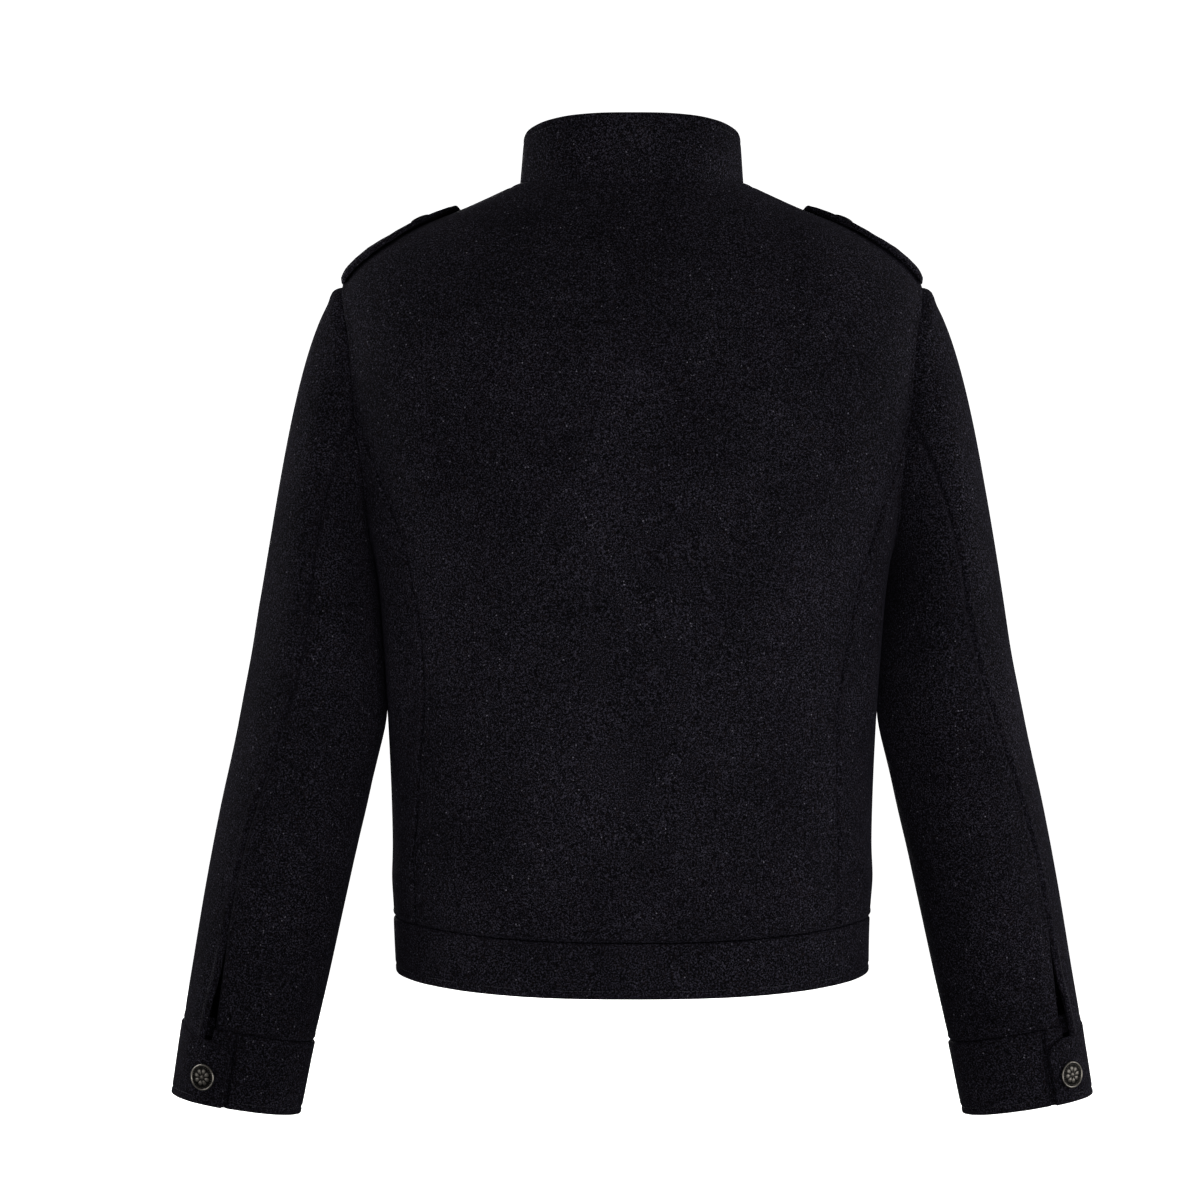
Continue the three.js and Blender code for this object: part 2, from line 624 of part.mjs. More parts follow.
function cuffs() {
  for (const hand of ['left', 'right']) {
    const seam = elbowAngle(cuff.top, hand);
    const from = seam + 2;
    const to = 360 + seam + cuff.overlap;
    const profiles = [];
    for (let i = 0; i <= cuff.steps; i += 1) {
      const angle = mix(from, to, i / cuff.steps);
      const nearEnd = max(0, 1 - (to - angle) / cuff.cornerSpan);
      const share = (angle - frontSeam) / (360 + seam - frontSeam);
      const top = cuff.top + seamGap + ventDrop(share) + cuff.corner * (1 - (1 - nearEnd ** 2) ** 0.5);
      const lift = cuff.proud + cuffLift(angle, hand);
      const place = (across, out) => armPoint(angle, mix(top, cuff.bottom, across), lift + out);
      const profile = bandProfile(place, cuff.bottom - top);
      profiles.push(hand === 'left' ? profile : profile.map(mirrored));
    }
    add(`cuff_${hand}`, bandSolid(profiles));
  }
}

// A point of a band's edge. The edge falls or rises from its side by slope and then by what is left to its
// back and front heights.
function edgePoint(ring, squareness, turn, out) {
  const atBack = cos(turn) >= 0;
  const power = 2 / squareness;
  const rest = atBack ? ring.back - ring.side - ring.slope : ring.front - ring.side + ring.slope;
  const depth = (atBack ? ring.behind : ring.ahead) + out;
  return new THREE.Vector3(
    (ring.half + out) * signedPower(sin(turn), power),
    depth * signedPower(cos(turn), power),
    ring.side + ring.slope * cos(turn) + rest * cos(turn) ** 2,
  );
}

// Waistband: one long band whose left end lies over its right end at the front
function waistbandTurn(reach) {
  return asin((reach / waistbandSections[0].half) ** (waistSquareness / 2));
}

function waistbandPiece() {
  const [top, hem] = waistbandSections;
  const from = PI - waistbandTurn(waistband.overlapHalf);
  const to = 3 * PI + waistbandTurn(waistband.overlapHalf);
  const profiles = [];
  for (let i = 0; i <= waistband.steps; i += 1) {
    const turn = mix(from, to, i / waistband.steps);
    const tucked = (doubledWall + lapGap) * (1 - ease((turn - from - waistband.rise) / waistband.riseSpan));
    const place = (across, out) => {
      const upper = edgePoint(top, waistSquareness, turn, out - tucked);
      const lower = edgePoint(hem, waistSquareness, turn, out - tucked);
      upper.z -= seamGap;
      return upper.lerp(lower, across);
    };
    profiles.push(bandProfile(place, top.side - hem.side));
  }
  add('waistband', bandSolid(profiles));
}

// Stand collar, from the neck seam up, its ends meeting at the front centre
function collar() {
  const base = bodySections[bodySections.length - 1];
  const opening = asin((collarOpening / 2 / base.half) ** (base.square / 2));
  const profiles = [];
  for (let i = 0; i <= collarSteps; i += 1) {
    const turn = mix(-PI + opening, PI - opening, i / collarSteps);
    const normal = bodyNormal(turn, neck);
    const level = new THREE.Vector3(normal.x, normal.y, 0).normalize();
    const sewn = mitre(normal, level).multiplyScalar(doubledWall / clothWall);
    const foot = ringPoint(turn, neck);
    foot.z += seamGap;
    const place = (across, out) => {
      const upper = edgePoint(collarTop, collarTop.square, turn, out);
      const lower = foot.clone().addScaledVector(sewn, -out / doubledWall);
      return upper.lerp(lower, across);
    };
    profiles.push(bandProfile(place, collarTop.side));
  }
  add('collar', bandSolid(profiles));
}

// The turn at which the shoulder's ring reaches a distance behind (or, below 0, in front of) the side
function turnAtDepth(side, y) {
  const read = (column) => along(bodySections, 'side', side, column);
  const depth = y >= 0 ? read('behind') : read('ahead');
  return acos(signedPower(y / depth, read('square') / 2));
}

// A place on a strap: t runs from the armhole to its point, across from its front edge (-1) to its back (1)
function strapPoint(t, across, out) {
  const side = mix(strap.outerEnd, strap.innerEnd, t);
  const intoPoint = max(0, t - strap.point) / (1 - strap.point);
  const pointed = 1 - strap.pointNarrowing * intoPoint ** 2;
  const half = mix(strap.outerHalfWidth, strap.innerHalfWidth, t) * pointed;
  const middle = mix(strap.outerMiddle, strap.innerMiddle, t) + strap.bow * 4 * t * (1 - t);
  const turn = turnAtDepth(side, middle + across * half);
  const lift = strap.lift + strap.edgeLift * across ** 2 + strap.endLift * t ** 4;
  return bodyPoint(turn, side, lift + out);
}

function straps() {
  const profiles = [];
  for (let i = 0; i <= strap.steps; i += 1) {
    const t = i / strap.steps;
    const upper = [];
    const lower = [];
    for (let k = 0; k <= strap.across; k += 1) {
      const across = (2 * k) / strap.across - 1;
      upper.push(strapPoint(t, across, doubledWall));
      lower.unshift(strapPoint(t, across, 0));
    }
    profiles.push([...upper, ...lower]);
  }
  add('shoulder_strap_left', bandSolid(profiles));
  add('shoulder_strap_right', bandSolid(profiles.map((profile) => profile.map(mirrored))));
}

// A shank button, standing on the cloth at a point and facing along its normal
function button(name, radius, point, normal) {
  const face = buttonBack + plateShare * radius;
  const profile = [
    [0, buttonFoot], [shankShare, buttonFoot], [shankShare, buttonBack], [0.94, buttonBack],
    [1, (buttonBack + face) / 2], [0.97, face], [rimShare, face + rimHeight], [troughShare, face - 0.1],
    [crownShare, face + domeHeight * 0.75], [0, face + domeHeight],
  ];
  const outline = profile.map(([share, y]) => new THREE.Vector2(share * radius, y));
  const geometry = new THREE.LatheGeometry(outline, buttonSides);
  const turned = new THREE.Quaternion().setFromUnitVectors(new THREE.Vector3(0, 1, 0), normal);
  const mesh = new THREE.Mesh(geometry, pewter);
  mesh.name = name;
  mesh.quaternion.copy(turned);
  mesh.position.copy(point);
  jacket.add(mesh);
}

function buttons() {
  frontButtonHeights.forEach((z, i) => {
    const normal = bodyNormal(PI, z);
    button(`front_button_${i + 1}`, buttonRadius, bodyPoint(PI, z), normal);
  });
  const [top, hem] = waistbandSections;
  const upper = edgePoint(top, waistSquareness, PI, 0);
  const lower = edgePoint(hem, waistSquareness, PI, 0);
  button('waistband_button', buttonRadius, upper.lerp(lower, 0.5), new THREE.Vector3(0, -1, 0));
  for (const hand of ['left', 'right']) {
    const place = (vector) => (hand === 'left' ? vector : mirrored(vector));
    const angle = elbowAngle(cuff.bottom, hand) + cuff.buttonPast;
    const height = mix(cuff.top, cuff.bottom, cuff.buttonAt);
    const lift = cuff.proud + cuffLift(angle + 360, hand);
    const onCuff = armPoint(angle, height, lift);
    const around = armPoint(angle + 1, height, lift).sub(armPoint(angle - 1, height, lift));
    const lengthwise = armPoint(angle, height + 1, lift).sub(armPoint(angle, height - 1, lift));
    button(`cuff_button_${hand}`, buttonRadius, place(onCuff), place(lengthwise.cross(around).normalize()));
    const onStrap = strapPoint(strap.buttonAt, 0, doubledWall);
    const over = strapPoint(strap.buttonAt, 0.1, doubledWall).sub(onStrap);
    const inwards = strapPoint(strap.buttonAt + 0.02, 0, doubledWall).sub(onStrap);
    button(`strap_button_${hand}`, smallButtonRadius, place(onStrap), place(over.cross(inwards).normalize()));
  }
}

back();
sidePanels();
fronts();
collar();
waistbandPiece();
sleeves();
cuffs();
straps();
buttons();

export default jacket;
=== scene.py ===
# A short military jacket in black wool melton, filled out as if worn, built piece by piece as it is sewn.
# Sizes are in millimetres until a mesh is made. +Z is up, the back faces +Y, the wearer's left is +X.
import math

import bmesh
import bpy
import numpy as np
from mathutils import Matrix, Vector


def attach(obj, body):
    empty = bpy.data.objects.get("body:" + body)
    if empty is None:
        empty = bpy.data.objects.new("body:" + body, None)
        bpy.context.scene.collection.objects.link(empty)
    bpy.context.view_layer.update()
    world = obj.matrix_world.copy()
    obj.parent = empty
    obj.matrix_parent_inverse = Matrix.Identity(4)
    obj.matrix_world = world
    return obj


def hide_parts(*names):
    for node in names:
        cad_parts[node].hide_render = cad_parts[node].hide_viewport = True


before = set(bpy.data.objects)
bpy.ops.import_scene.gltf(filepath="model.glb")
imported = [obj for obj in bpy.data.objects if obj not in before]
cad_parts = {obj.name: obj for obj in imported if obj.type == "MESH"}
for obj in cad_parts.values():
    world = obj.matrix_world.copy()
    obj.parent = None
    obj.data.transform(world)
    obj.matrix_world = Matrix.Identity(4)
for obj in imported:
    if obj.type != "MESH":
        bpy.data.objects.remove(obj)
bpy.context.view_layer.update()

# Wool melton
# Fulled and cropped woollen cloth, dyed black. The eye sees a matt, nearly black ground with a violet cast,
# a fine felted grain, paler fibre ends here and there, and a soft lighter bloom where it turns away.

FIBRE_GRAIN = 1.15  # mm, the felted lumps, drawn about three times as coarse as real ones so that they show
FIBRE_FLECK = 2.4  # mm, between stray pale fibres
CLOUD = 70.0  # mm, brushed and rubbed patches
WOOL_PIT = "#020203"
WOOL_GROUND = "#0e0d12"
WOOL_TIP = "#35333d"
WOOL_WARM = "#1a1415"
WOOL_FLECK = "#77747f"
WOOL_BLOOM = "#8a86a0"


def linear(hex_colour):
    """An sRGB hex colour as linear RGBA."""
    parts = [int(hex_colour[i : i + 2], 16) / 255 for i in (1, 3, 5)]
    return [p / 12.92 if p <= 0.04045 else ((p + 0.055) / 1.055) ** 2.4 for p in parts] + [1.0]


# A colour mix node's settings, and its sockets by number, as their names repeat: share, two colours, result
MIX, MULTIPLY = {"data_type": "RGBA"}, {"data_type": "RGBA", "blend_type": "MULTIPLY"}
SHARE, FIRST, SECOND, MIXED = 0, 6, 7, 2


def node(material, kind, settings=None, stops=(), numbered=None, **inputs):
    """Adds a shader node with its settings and its ramp's stops. An input is a value or a node's output."""
    made = material.node_tree.nodes.new(kind)
    for name, value in (settings or {}).items():
        setattr(made, name, value)
    for i, (position, colour) in enumerate(stops):
        stop = made.color_ramp.elements[i] if i < 2 else made.color_ramp.elements.new(position)
        stop.position, stop.color = position, colour
    named = {name.replace("_", " "): value for name, value in inputs.items()}
    for key, value in {**named, **(numbered or {})}.items():
        socket = made.inputs[key]
        if isinstance(value, bpy.types.NodeSocket):
            material.node_tree.links.new(value, socket)
        else:
            socket.default_value = value
    return made


def surface(name):
    """A new, empty material, and the place on the jacket in metres."""
    made = bpy.data.materials.new(name)
    made.use_nodes = True
    made.node_tree.nodes.clear()
    return made, node(made, "ShaderNodeTexCoord").outputs["Object"]


def wool_melton():
    made, place = surface("wool_melton")
    black, white = [0, 0, 0, 1], [1, 1, 1, 1]
    grain = node(
        made, "ShaderNodeTexNoise", Vector=place, Scale=1000 / FIBRE_GRAIN, Detail=3.0, Roughness=0.6
    ).outputs["Fac"]
    fibre = node(
        made, "ShaderNodeTexNoise", Vector=place, Scale=400 / FIBRE_GRAIN, Detail=2.0, Distortion=1.5
    ).outputs["Fac"]
    fleck = node(made, "ShaderNodeTexVoronoi", Vector=place, Scale=1000 / FIBRE_FLECK, Randomness=1.0)
    cloud = node(made, "ShaderNodeTexNoise", Vector=place, Scale=1000 / CLOUD, Detail=3.0, Roughness=0.55)
    lumps = node(made, "ShaderNodeValToRGB", Fac=grain, stops=[
        (0.4, linear(WOOL_PIT)), (0.51, linear(WOOL_GROUND)), (0.65, linear(WOOL_TIP)),
    ])
    warm = node(made, "ShaderNodeValToRGB", Fac=fibre, stops=[(0.52, black), (0.72, [0.55, 0.55, 0.55, 1])])
    rubbed = node(made, "ShaderNodeValToRGB", Fac=cloud.outputs["Fac"], stops=[
        (0.35, [0.78, 0.78, 0.8, 1]), (0.7, [1.2, 1.19, 1.2, 1]),
    ])
    few = node(
        made, "ShaderNodeValToRGB", Fac=fleck.outputs["Color"], stops=[(0.8, black), (0.95, white)]
    )
    near = node(
        made, "ShaderNodeValToRGB", Fac=fleck.outputs["Distance"], stops=[(0.08, white), (0.3, black)]
    )
    dyed = node(made, "ShaderNodeMix", MIX, numbered={
        SHARE: warm.outputs["Color"], FIRST: lumps.outputs["Color"], SECOND: linear(WOOL_WARM),
    })
    shaded = node(made, "ShaderNodeMix", MULTIPLY, numbered={
        SHARE: 1.0, FIRST: dyed.outputs[MIXED], SECOND: rubbed.outputs["Color"],
    })
    flecked = node(made, "ShaderNodeMix", MULTIPLY, numbered={
        SHARE: 1.0, FIRST: few.outputs["Color"], SECOND: near.outputs["Color"],
    })
    colour = node(made, "ShaderNodeMix", MIX, numbered={
        SHARE: flecked.outputs[MIXED], FIRST: shaded.outputs[MIXED], SECOND: linear(WOOL_FLECK),
    })
    felt = node(made, "ShaderNodeBump", Strength=0.6, Distance=0.0004, Height=grain)
    hair = node(
        made, "ShaderNodeBump", Strength=0.3, Distance=0.0003, Height=fibre, Normal=felt.outputs["Normal"]
    )
    shader = node(
        made, "ShaderNodeBsdfPrincipled", Base_Color=colour.outputs[MIXED], Normal=hair.outputs["Normal"],
        Roughness=0.92, Specular_IOR_Level=0.05, Sheen_Weight=0.04, Sheen_Roughness=0.4,
        Sheen_Tint=linear(WOOL_BLOOM),
    )
    node(made, "ShaderNodeOutputMaterial", Surface=shader.outputs["BSDF"])
    return made


melton = wool_melton()

# Form of the body
# The cloth of the back, side panels and fronts hangs over the shoulders and blouses a little above the
# waistband. It is drawn as rings from the waist seam to the neck, with a fold list laid over them.

CLOTH = 2.2  # wall of melton with its fused backing
DOUBLED = 4.0  # collar, waistband, cuffs and straps are cut double and turned
SEAM_GAP = 0.3
LAP_GAP = 0.4  # between one end of a band and the end that laps over it
WAIST, ARMPIT, SHOULDER_TIP, NECK = -572.0, -290.0, -81.0, 0.0
GRID = 4.0  # spacing of the mesh on plain cloth
EDGE_GRID = (0.0, 0.35, 0.8, 1.4, 2.2, 3.2, 4.6, 6.5, 9.0)  # closer beside a seam

BODY_COLUMNS = ("side", "back", "front", "half", "behind", "ahead", "square")
BODY = {
    "waist seam": (-572, -585, -579, 186, 120, 114, 2.5),
    "blouse": (-552, -562, -557, 186.8, 125.5, 118, 2.5),
    "lower ribs": (-510, -517, -513, 187, 129, 120, 2.5),
    "ribs": (-440, -442, -441, 189.5, 130, 121, 2.45),
    "chest": (-370, -370, -370, 194, 131, 123, 2.4),
    "underarm": (-300, -298, -300, 201, 131, 124, 2.4),
    "blades": (-240, -238, -240, 214, 129, 121, 2.4),
    "mid armhole": (-180, -182, -184, 226, 123.5, 113, 2.4),
    "across back": (-125, -137, -140, 230, 115, 101, 2.3),
    "shoulder tip": (-81, -101, -115, 226, 105, 92, 2.15),
    "shoulder bend": (-63, -86, -104, 214, 100, 88, 2.1),
    "outer shoulder": (-48, -71, -94, 193, 94, 84, 2.1),
    "mid shoulder": (-34, -54, -84, 166, 85.5, 79, 2.1),
    "inner shoulder": (-22, -35, -75, 136, 75.5, 74, 2.1),
    "neck": (0, -5, -60, 87.5, 58, 66, 2.2),
}

# Folds of the hanging cloth: a fold's middle, how far its top leans towards +X from upright (degrees), its
# half length and half width, and its height out of the cloth. The narrow ones are creases.
BACK_FOLDS = {
    "hollow of the spine": (-8, -235, 0, 170, 40, -3.5),
    "left blade ridge": (72, -285, -5, 170, 34, 3.0),
    "left underarm trough": (133, -245, -28, 120, 28, -3.0),
    "right blade ridge": (-112, -300, 12, 150, 38, 3.0),
    "right waist trough": (-126, -382, 40, 80, 13, -2.6),
    "left waist ridge": (168, -522, -32, 42, 9, 2.4),
    "right waist ridge": (-172, -524, 30, 42, 9, 2.2),
    "drag from the left armhole": (150, -205, -38, 60, 9, -1.6),
    "second drag on the left": (128, -292, -33, 70, 8, -1.3),
    "drag from the right armhole": (-158, -232, 30, 55, 9, -1.5),
    "dent under the right blade": (-3, -358, 4, 20, 13, -2.0),
    "left waist crease": (98, -512, 42, 48, 7, -1.5),
    "buckle above the left waist": (60, -548, 70, 60, 9, 1.4),
    "buckle above the right waist": (-74, -552, -68, 66, 8, 1.3),
    "buckle at the centre": (8, -555, 86, 55, 8, -1.0),
    "long soft fall on the left": (40, -430, -6, 130, 16, 1.1),
    "long soft fall on the right": (-58, -440, 9, 120, 15, 1.0),
    "pull beside the collar": (60, -52, -40, 34, 7, -0.9),
    "pull beside the collar, right": (-64, -50, 42, 30, 7, -0.8),
}
FRONT_FOLDS = {
    "left front drape": (105, -330, 14, 160, 30, 3.0),
    "right front drape": (-112, -350, -12, 150, 28, 3.0),
    "left front trough": (135, -250, 30, 90, 18, -3.0),
    "right front trough": (-138, -262, -28, 90, 18, -3.0),
    "drag to the second button": (48, -228, 68, 44, 8, -1.3),
    "drag to the third button": (-52, -330, -66, 46, 9, -1.2),
    "drag to the fourth button": (55, -438, 70, 50, 9, -1.3),
    "drag across the right": (-70, -432, -60, 44, 8, 1.2),
    "waist crease on the left": (118, -520, 34, 46, 8, -1.6),
    "waist crease on the right": (-126, -512, -38, 50, 8, -1.5),
    "buckle above the left waist": (74, -552, 74, 50, 8, 1.3),
    "buckle above the right waist": (-84, -549, -72, 56, 9, 1.3),
    "long soft fall on the left": (62, -400, 4, 110, 15, 1.1),
    "long soft fall on the right": (-60, -395, -6, 120, 14, 1.0),
}


def columns(table, names):
    """A table of rows as one array for each named column."""
    rows = np.array(list(table.values()), float)
    return {name: rows[:, i] for i, name in enumerate(names)}


def read(table, key, at, column):
    """Reads a column between its rows, along a smooth curve."""
    x, y = table[key], table[column]
    at = np.asarray(at, float)
    row = np.clip(np.searchsorted(x, at, side="left") - 1, 0, len(x) - 2)
    span = np.diff(x)
    slope = np.diff(y) / span
    inner = (span[1:] * slope[:-1] + span[:-1] * slope[1:]) / (span[:-1] + span[1:])
    tangent = np.concatenate([slope[:1], inner, slope[-1:]])
    h = span[row]
    t = (at - x[row]) / h
    value = y[row] * (1 + 2 * t) * (1 - t) ** 2 + y[row + 1] * t * t * (3 - 2 * t)
    return value + h * tangent[row] * t * (1 - t) ** 2 + h * tangent[row + 1] * t * t * (t - 1)


def ease(t):
    t = np.clip(t, 0, 1)
    return t * t * (3 - 2 * t)


def signed_power(value, power):
    return np.sign(value) * np.abs(value) ** power


def unit(vectors):
    return vectors / np.maximum(np.linalg.norm(vectors, axis=-1, keepdims=True), 1e-12)


def points(x, y, z):
    return np.stack(np.broadcast_arrays(x, y, z), axis=-1)


body = columns(BODY, BODY_COLUMNS)


def ring_point(turn, side):
    """A point of the ring at a side height. turn runs from the back centre over the wearer's left."""
    turn, side = np.broadcast_arrays(turn, side)
    at_back = np.cos(turn) >= 0
    power = 2 / read(body, "side", side, "square")
    depth = np.where(at_back, read(body, "side", side, "behind"), read(body, "side", side, "ahead"))
    drop = np.where(at_back, read(body, "side", side, "back"), read(body, "side", side, "front")) - side
    return points(
        read(body, "side", side, "half") * signed_power(np.sin(turn), power),
        depth * signed_power(np.cos(turn), power),
        side + drop * np.cos(turn) ** 2,
    )


def body_normal(turn, side):
    around = ring_point(turn + 0.004, side) - ring_point(turn - 0.004, side)
    up = ring_point(turn, side + 0.5) - ring_point(turn, side - 0.5)
    return unit(np.cross(up, around))


def fold_height(table, x, z):
    """The height of a table's folds at each place of the flat that x and z give."""
    total = np.zeros(x.shape)
    for fold in table.values():
        middle_x, middle_z, lean, length, width, out = fold
        lean = math.radians(lean)
        lengthwise = ((x - middle_x) * math.sin(lean) + (z - middle_z) * math.cos(lean)) / length
        bow = 0.25 * width * lengthwise**2 * math.copysign(1, out * middle_x + 0.1)
        across = ((x - middle_x) * math.cos(lean) - (z - middle_z) * math.sin(lean) + bow) / width
        total += out * np.exp(-across * across) * np.maximum(0, 1 - lengthwise**2) ** 2
    return total


# The side panels round out behind, under the arms: the swell's height, its middle from the side seam, its
# half width, its lower and upper ends, and the lengths over which it fades in at each
SIDE_SWELL, SWELL_MIDDLE, SWELL_WIDTH = 4.0, 52.0, 17.0
SWELL_FOOT, SWELL_HEAD, FOOT_FADE, HEAD_FADE = -460.0, -235.0, 50.0, 40.0


def body_out(place):
    x, y, z = place[..., 0], place[..., 1], place[..., 2]
    under_arm = np.exp(-(((y - SWELL_MIDDLE) / SWELL_WIDTH) ** 2))
    under_arm = under_arm * ease((z - SWELL_FOOT) / FOOT_FADE) * ease((SWELL_HEAD - z) / HEAD_FADE)
    behind = fold_height(BACK_FOLDS, x, z) + SIDE_SWELL * under_arm
    return np.where(y > 0, behind, fold_height(FRONT_FOLDS, x, z))


def halved(test, inside, outside):
    """Halves the span until the test changes sign within it."""
    low, high = inside.copy(), outside.copy()
    for _ in range(40):
        middle = (low + high) / 2
        below = test(middle) < 0
        low, high = np.where(below, middle, low), np.where(below, high, middle)
    return (low + high) / 2


# Seams of the body
# The armhole is an upright egg. A princess seam runs on each side from the armhole's back down to the waist,
# pressed open and stitched from inside, so each edge rolls into a soft valley.

ARMHOLE_MIDDLE = (SHOULDER_TIP + ARMPIT) / 2
ARMHOLE_HALF = (SHOULDER_TIP - ARMPIT) / 2
ARMHOLE_DEPTH = {"back": 50.0, "front": 54.0}
ARMHOLE_SQUARE = 2.1
ARMHOLE_STEPS = 64  # down each side of the egg
PRINCESS_MEETS = 0.5  # of the way round the egg's back
PRINCESS_TIP = 1.0  # how far below the meeting the side panel's point stops
PRINCESS = {
    "waist": (-585, 167, 158),
    "above the waist": (-541, 168, 157.5),
    "lower ribs": (-500, 166, 157),
    "ribs": (-446, 163.5, 156.5),
    "hollow of the waist": (-417, 160.5, 156.5),
    "chest": (-370, 161.5, 162),
    "upper chest": (-340, 164.6, 168),
    "underarm": (-309, 171.4, 175),
    "armpit": (-283, 177, 183),
    "into the armhole": (-258, 185.5, 191),
    "near the armhole": (-237, 194, 200),
}


def armhole_turn(side, face):
    """The turn at which a ring crosses the egg, behind or in front."""
    side = np.atleast_1d(np.asarray(side, float))
    reach = -1 if face == "back" else 1

    def outside_egg(turn):
        place = ring_point(turn, side)
        y = np.abs(place[..., 1]) / ARMHOLE_DEPTH[face]
        z = np.abs(place[..., 2] - ARMHOLE_MIDDLE) / ARMHOLE_HALF
        return y**ARMHOLE_SQUARE + z**ARMHOLE_SQUARE - 1

    quarter = np.full(side.shape, math.pi / 2)
    turn = halved(outside_egg, quarter, quarter + reach)
    return np.where((side <= ARMPIT) | (side >= SHOULDER_TIP), math.pi / 2, turn)


egg_steps = np.arange(1, ARMHOLE_STEPS)
egg_rows = ARMHOLE_MIDDLE - ARMHOLE_HALF * np.cos(math.pi * egg_steps / ARMHOLE_STEPS)
princess_top = ARMHOLE_MIDDLE + ARMHOLE_HALF * math.cos(math.pi * PRINCESS_MEETS)


def princess_turn(side, hand):
    """The princess seam's turn at a side height, up to where it meets the armhole."""
    side = np.atleast_1d(np.asarray(side, float))
    meeting = ring_point(armhole_turn(princess_top, "back"), princess_top)[0]
    rows = dict(PRINCESS, meeting=(meeting[2], meeting[0], meeting[0]))
    seam = columns(rows, ("z", "left", "right"))

    def past_seam(turn):
        place = ring_point(turn, side)
        return place[..., 0] - read(seam, "z", place[..., 2], hand)

    turn = halved(past_seam, np.zeros(side.shape), np.full(side.shape, math.pi / 2))
    return np.minimum(turn, armhole_turn(side, "back"))


def rows_between(low, high):
    """Side heights for a panel's rows: even on plain cloth, closer at both ends and round the armhole."""
    edge = np.array(EDGE_GRID)
    plain = np.arange(low + edge[-1], high - edge[-1], GRID)
    rows = np.concatenate([low + edge, plain, high - edge, egg_rows[(egg_rows > low) & (egg_rows < high)]])
    rows = np.unique(np.round(rows, 3))
    kept = [rows[0]]
    for row in rows[1:-1]:
        if row - kept[-1] > 0.3 and rows[-1] - row > 0.3:
            kept.append(row)
    return np.array([*kept, rows[-1]])


def spread(from_turn, to_turn, side, count):
    """Turns of one row: count columns, closer beside both seams."""
    fine = np.linspace(from_turn, to_turn, 400)
    place = ring_point(fine, side)
    run = np.concatenate([[0], np.cumsum(np.linalg.norm(np.diff(place, axis=0), axis=1))])
    edge = np.array(EDGE_GRID) * min(1.0, run[-1] / 60)
    inner = np.linspace(edge[-1], run[-1] - edge[-1], count - 2 * len(edge) + 2)
    return np.interp(np.concatenate([edge[:-1], inner, (run[-1] - edge[:-1])[::-1]]), run, fine)


def near_seams(place, seams):
    """Distance of each place from the nearest of the seam lines."""
    flat = place.reshape(-1, 3)
    best = np.full(len(flat), 1e9)
    for seam in seams:
        first, step = seam[:-1], np.diff(seam, axis=0)
        length = np.maximum((step**2).sum(1), 1e-9)
        for start in range(0, len(flat), 4000):
            part = flat[start : start + 4000, None, :] - first[None]
            along = np.clip((part * step[None]).sum(2) / length[None], 0, 1)
            away = np.linalg.norm(part - along[..., None] * step[None], axis=2).min(1)
            best[start : start + 4000] = np.minimum(best[start : start + 4000], away)
    return best.reshape(place.shape[:-1])


# From a seam: the width of its valley, the place of the swell beside it, and where the allowance ends inside
ROLL_REACH, SWELL_AT, ALLOWANCE_END = 1.7, 3.8, 7.5
PLAIN_SEAM, PRINCESS_EXTRA, FLAT_SEAM = 1.7, 2.1, 0.35  # how deep the cloth goes into each kind of seam


def rolled(distance, depth):
    """How cloth goes into a seam: a rolled edge with a swell beside it, then the allowance's faint line."""
    swell = 0.2 * depth * np.exp(-(((distance - SWELL_AT) / 1.5) ** 2))
    allowance = 0.35 * np.exp(-(((distance - ALLOWANCE_END) / 1.3) ** 2))
    return swell - depth * np.exp(-((distance / ROLL_REACH) ** 1.6)) - allowance


def piece(name, vertices, faces, material):
    """A mesh piece from points in millimetres, smooth, with its faces turned outwards."""
    mesh = bpy.data.meshes.new(name)
    mesh.from_pydata((np.asarray(vertices) * 0.001).tolist(), [], faces)
    solid = bmesh.new()
    solid.from_mesh(mesh)
    bmesh.ops.remove_doubles(solid, verts=solid.verts, dist=2e-6)
    bmesh.ops.dissolve_degenerate(solid, edges=solid.edges, dist=1e-6)
    bmesh.ops.recalc_face_normals(solid, faces=solid.faces)
    if solid.calc_volume(signed=True) < 0:
        bmesh.ops.reverse_faces(solid, faces=solid.faces)
    solid.to_mesh(mesh)
    solid.free()
    mesh.polygons.foreach_set("use_smooth", [True] * len(mesh.polygons))
    mesh.materials.append(material)
    made = bpy.data.objects.new(name, mesh)
    bpy.context.scene.collection.objects.link(made)
    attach(made, "root")
    return made


def grid_faces(rows, count, closed=False):
    faces = []
    for r in range(rows - 1):
        for c in range(count if closed else count - 1):
            n = (c + 1) % count
            faces.append((r * count + c, r * count + n, (r + 1) * count + n, (r + 1) * count + c))
    return faces


def border(rows, count):
    """The indices round a grid's edge, once round."""
    top = list(range(count))
    right = [r * count + count - 1 for r in range(1, rows)]
    bottom = [(rows - 1) * count + c for c in range(count - 2, -1, -1)]
    left = [r * count for r in range(rows - 2, 0, -1)]
    return top + right + bottom + left


def cloth_shell(name, face, inward, wall=CLOTH):
    """A thin shell of cloth: its face, its wrong side, and a rounded cut edge between them."""
    rows, count = face.shape[:2]
    lining = face + inward * wall
    outer, inner = face.reshape(-1, 3), lining.reshape(-1, 3)
    size = len(outer)
    ring = border(rows, count)
    middle = (outer[ring] + inner[ring]) / 2
    faces = grid_faces(rows, count)
    faces += [tuple(size + v for v in reversed(quad)) for quad in grid_faces(rows, count)]
    for i, at in enumerate(ring):
        n = (i + 1) % len(ring)
        a, b, m, o = at, ring[n], 2 * size + i, 2 * size + n
        faces.append((b, a, m, o))
        faces.append((o, m, size + a, size + b))
    return piece(name, np.concatenate([outer, inner, middle]), faces, melton)


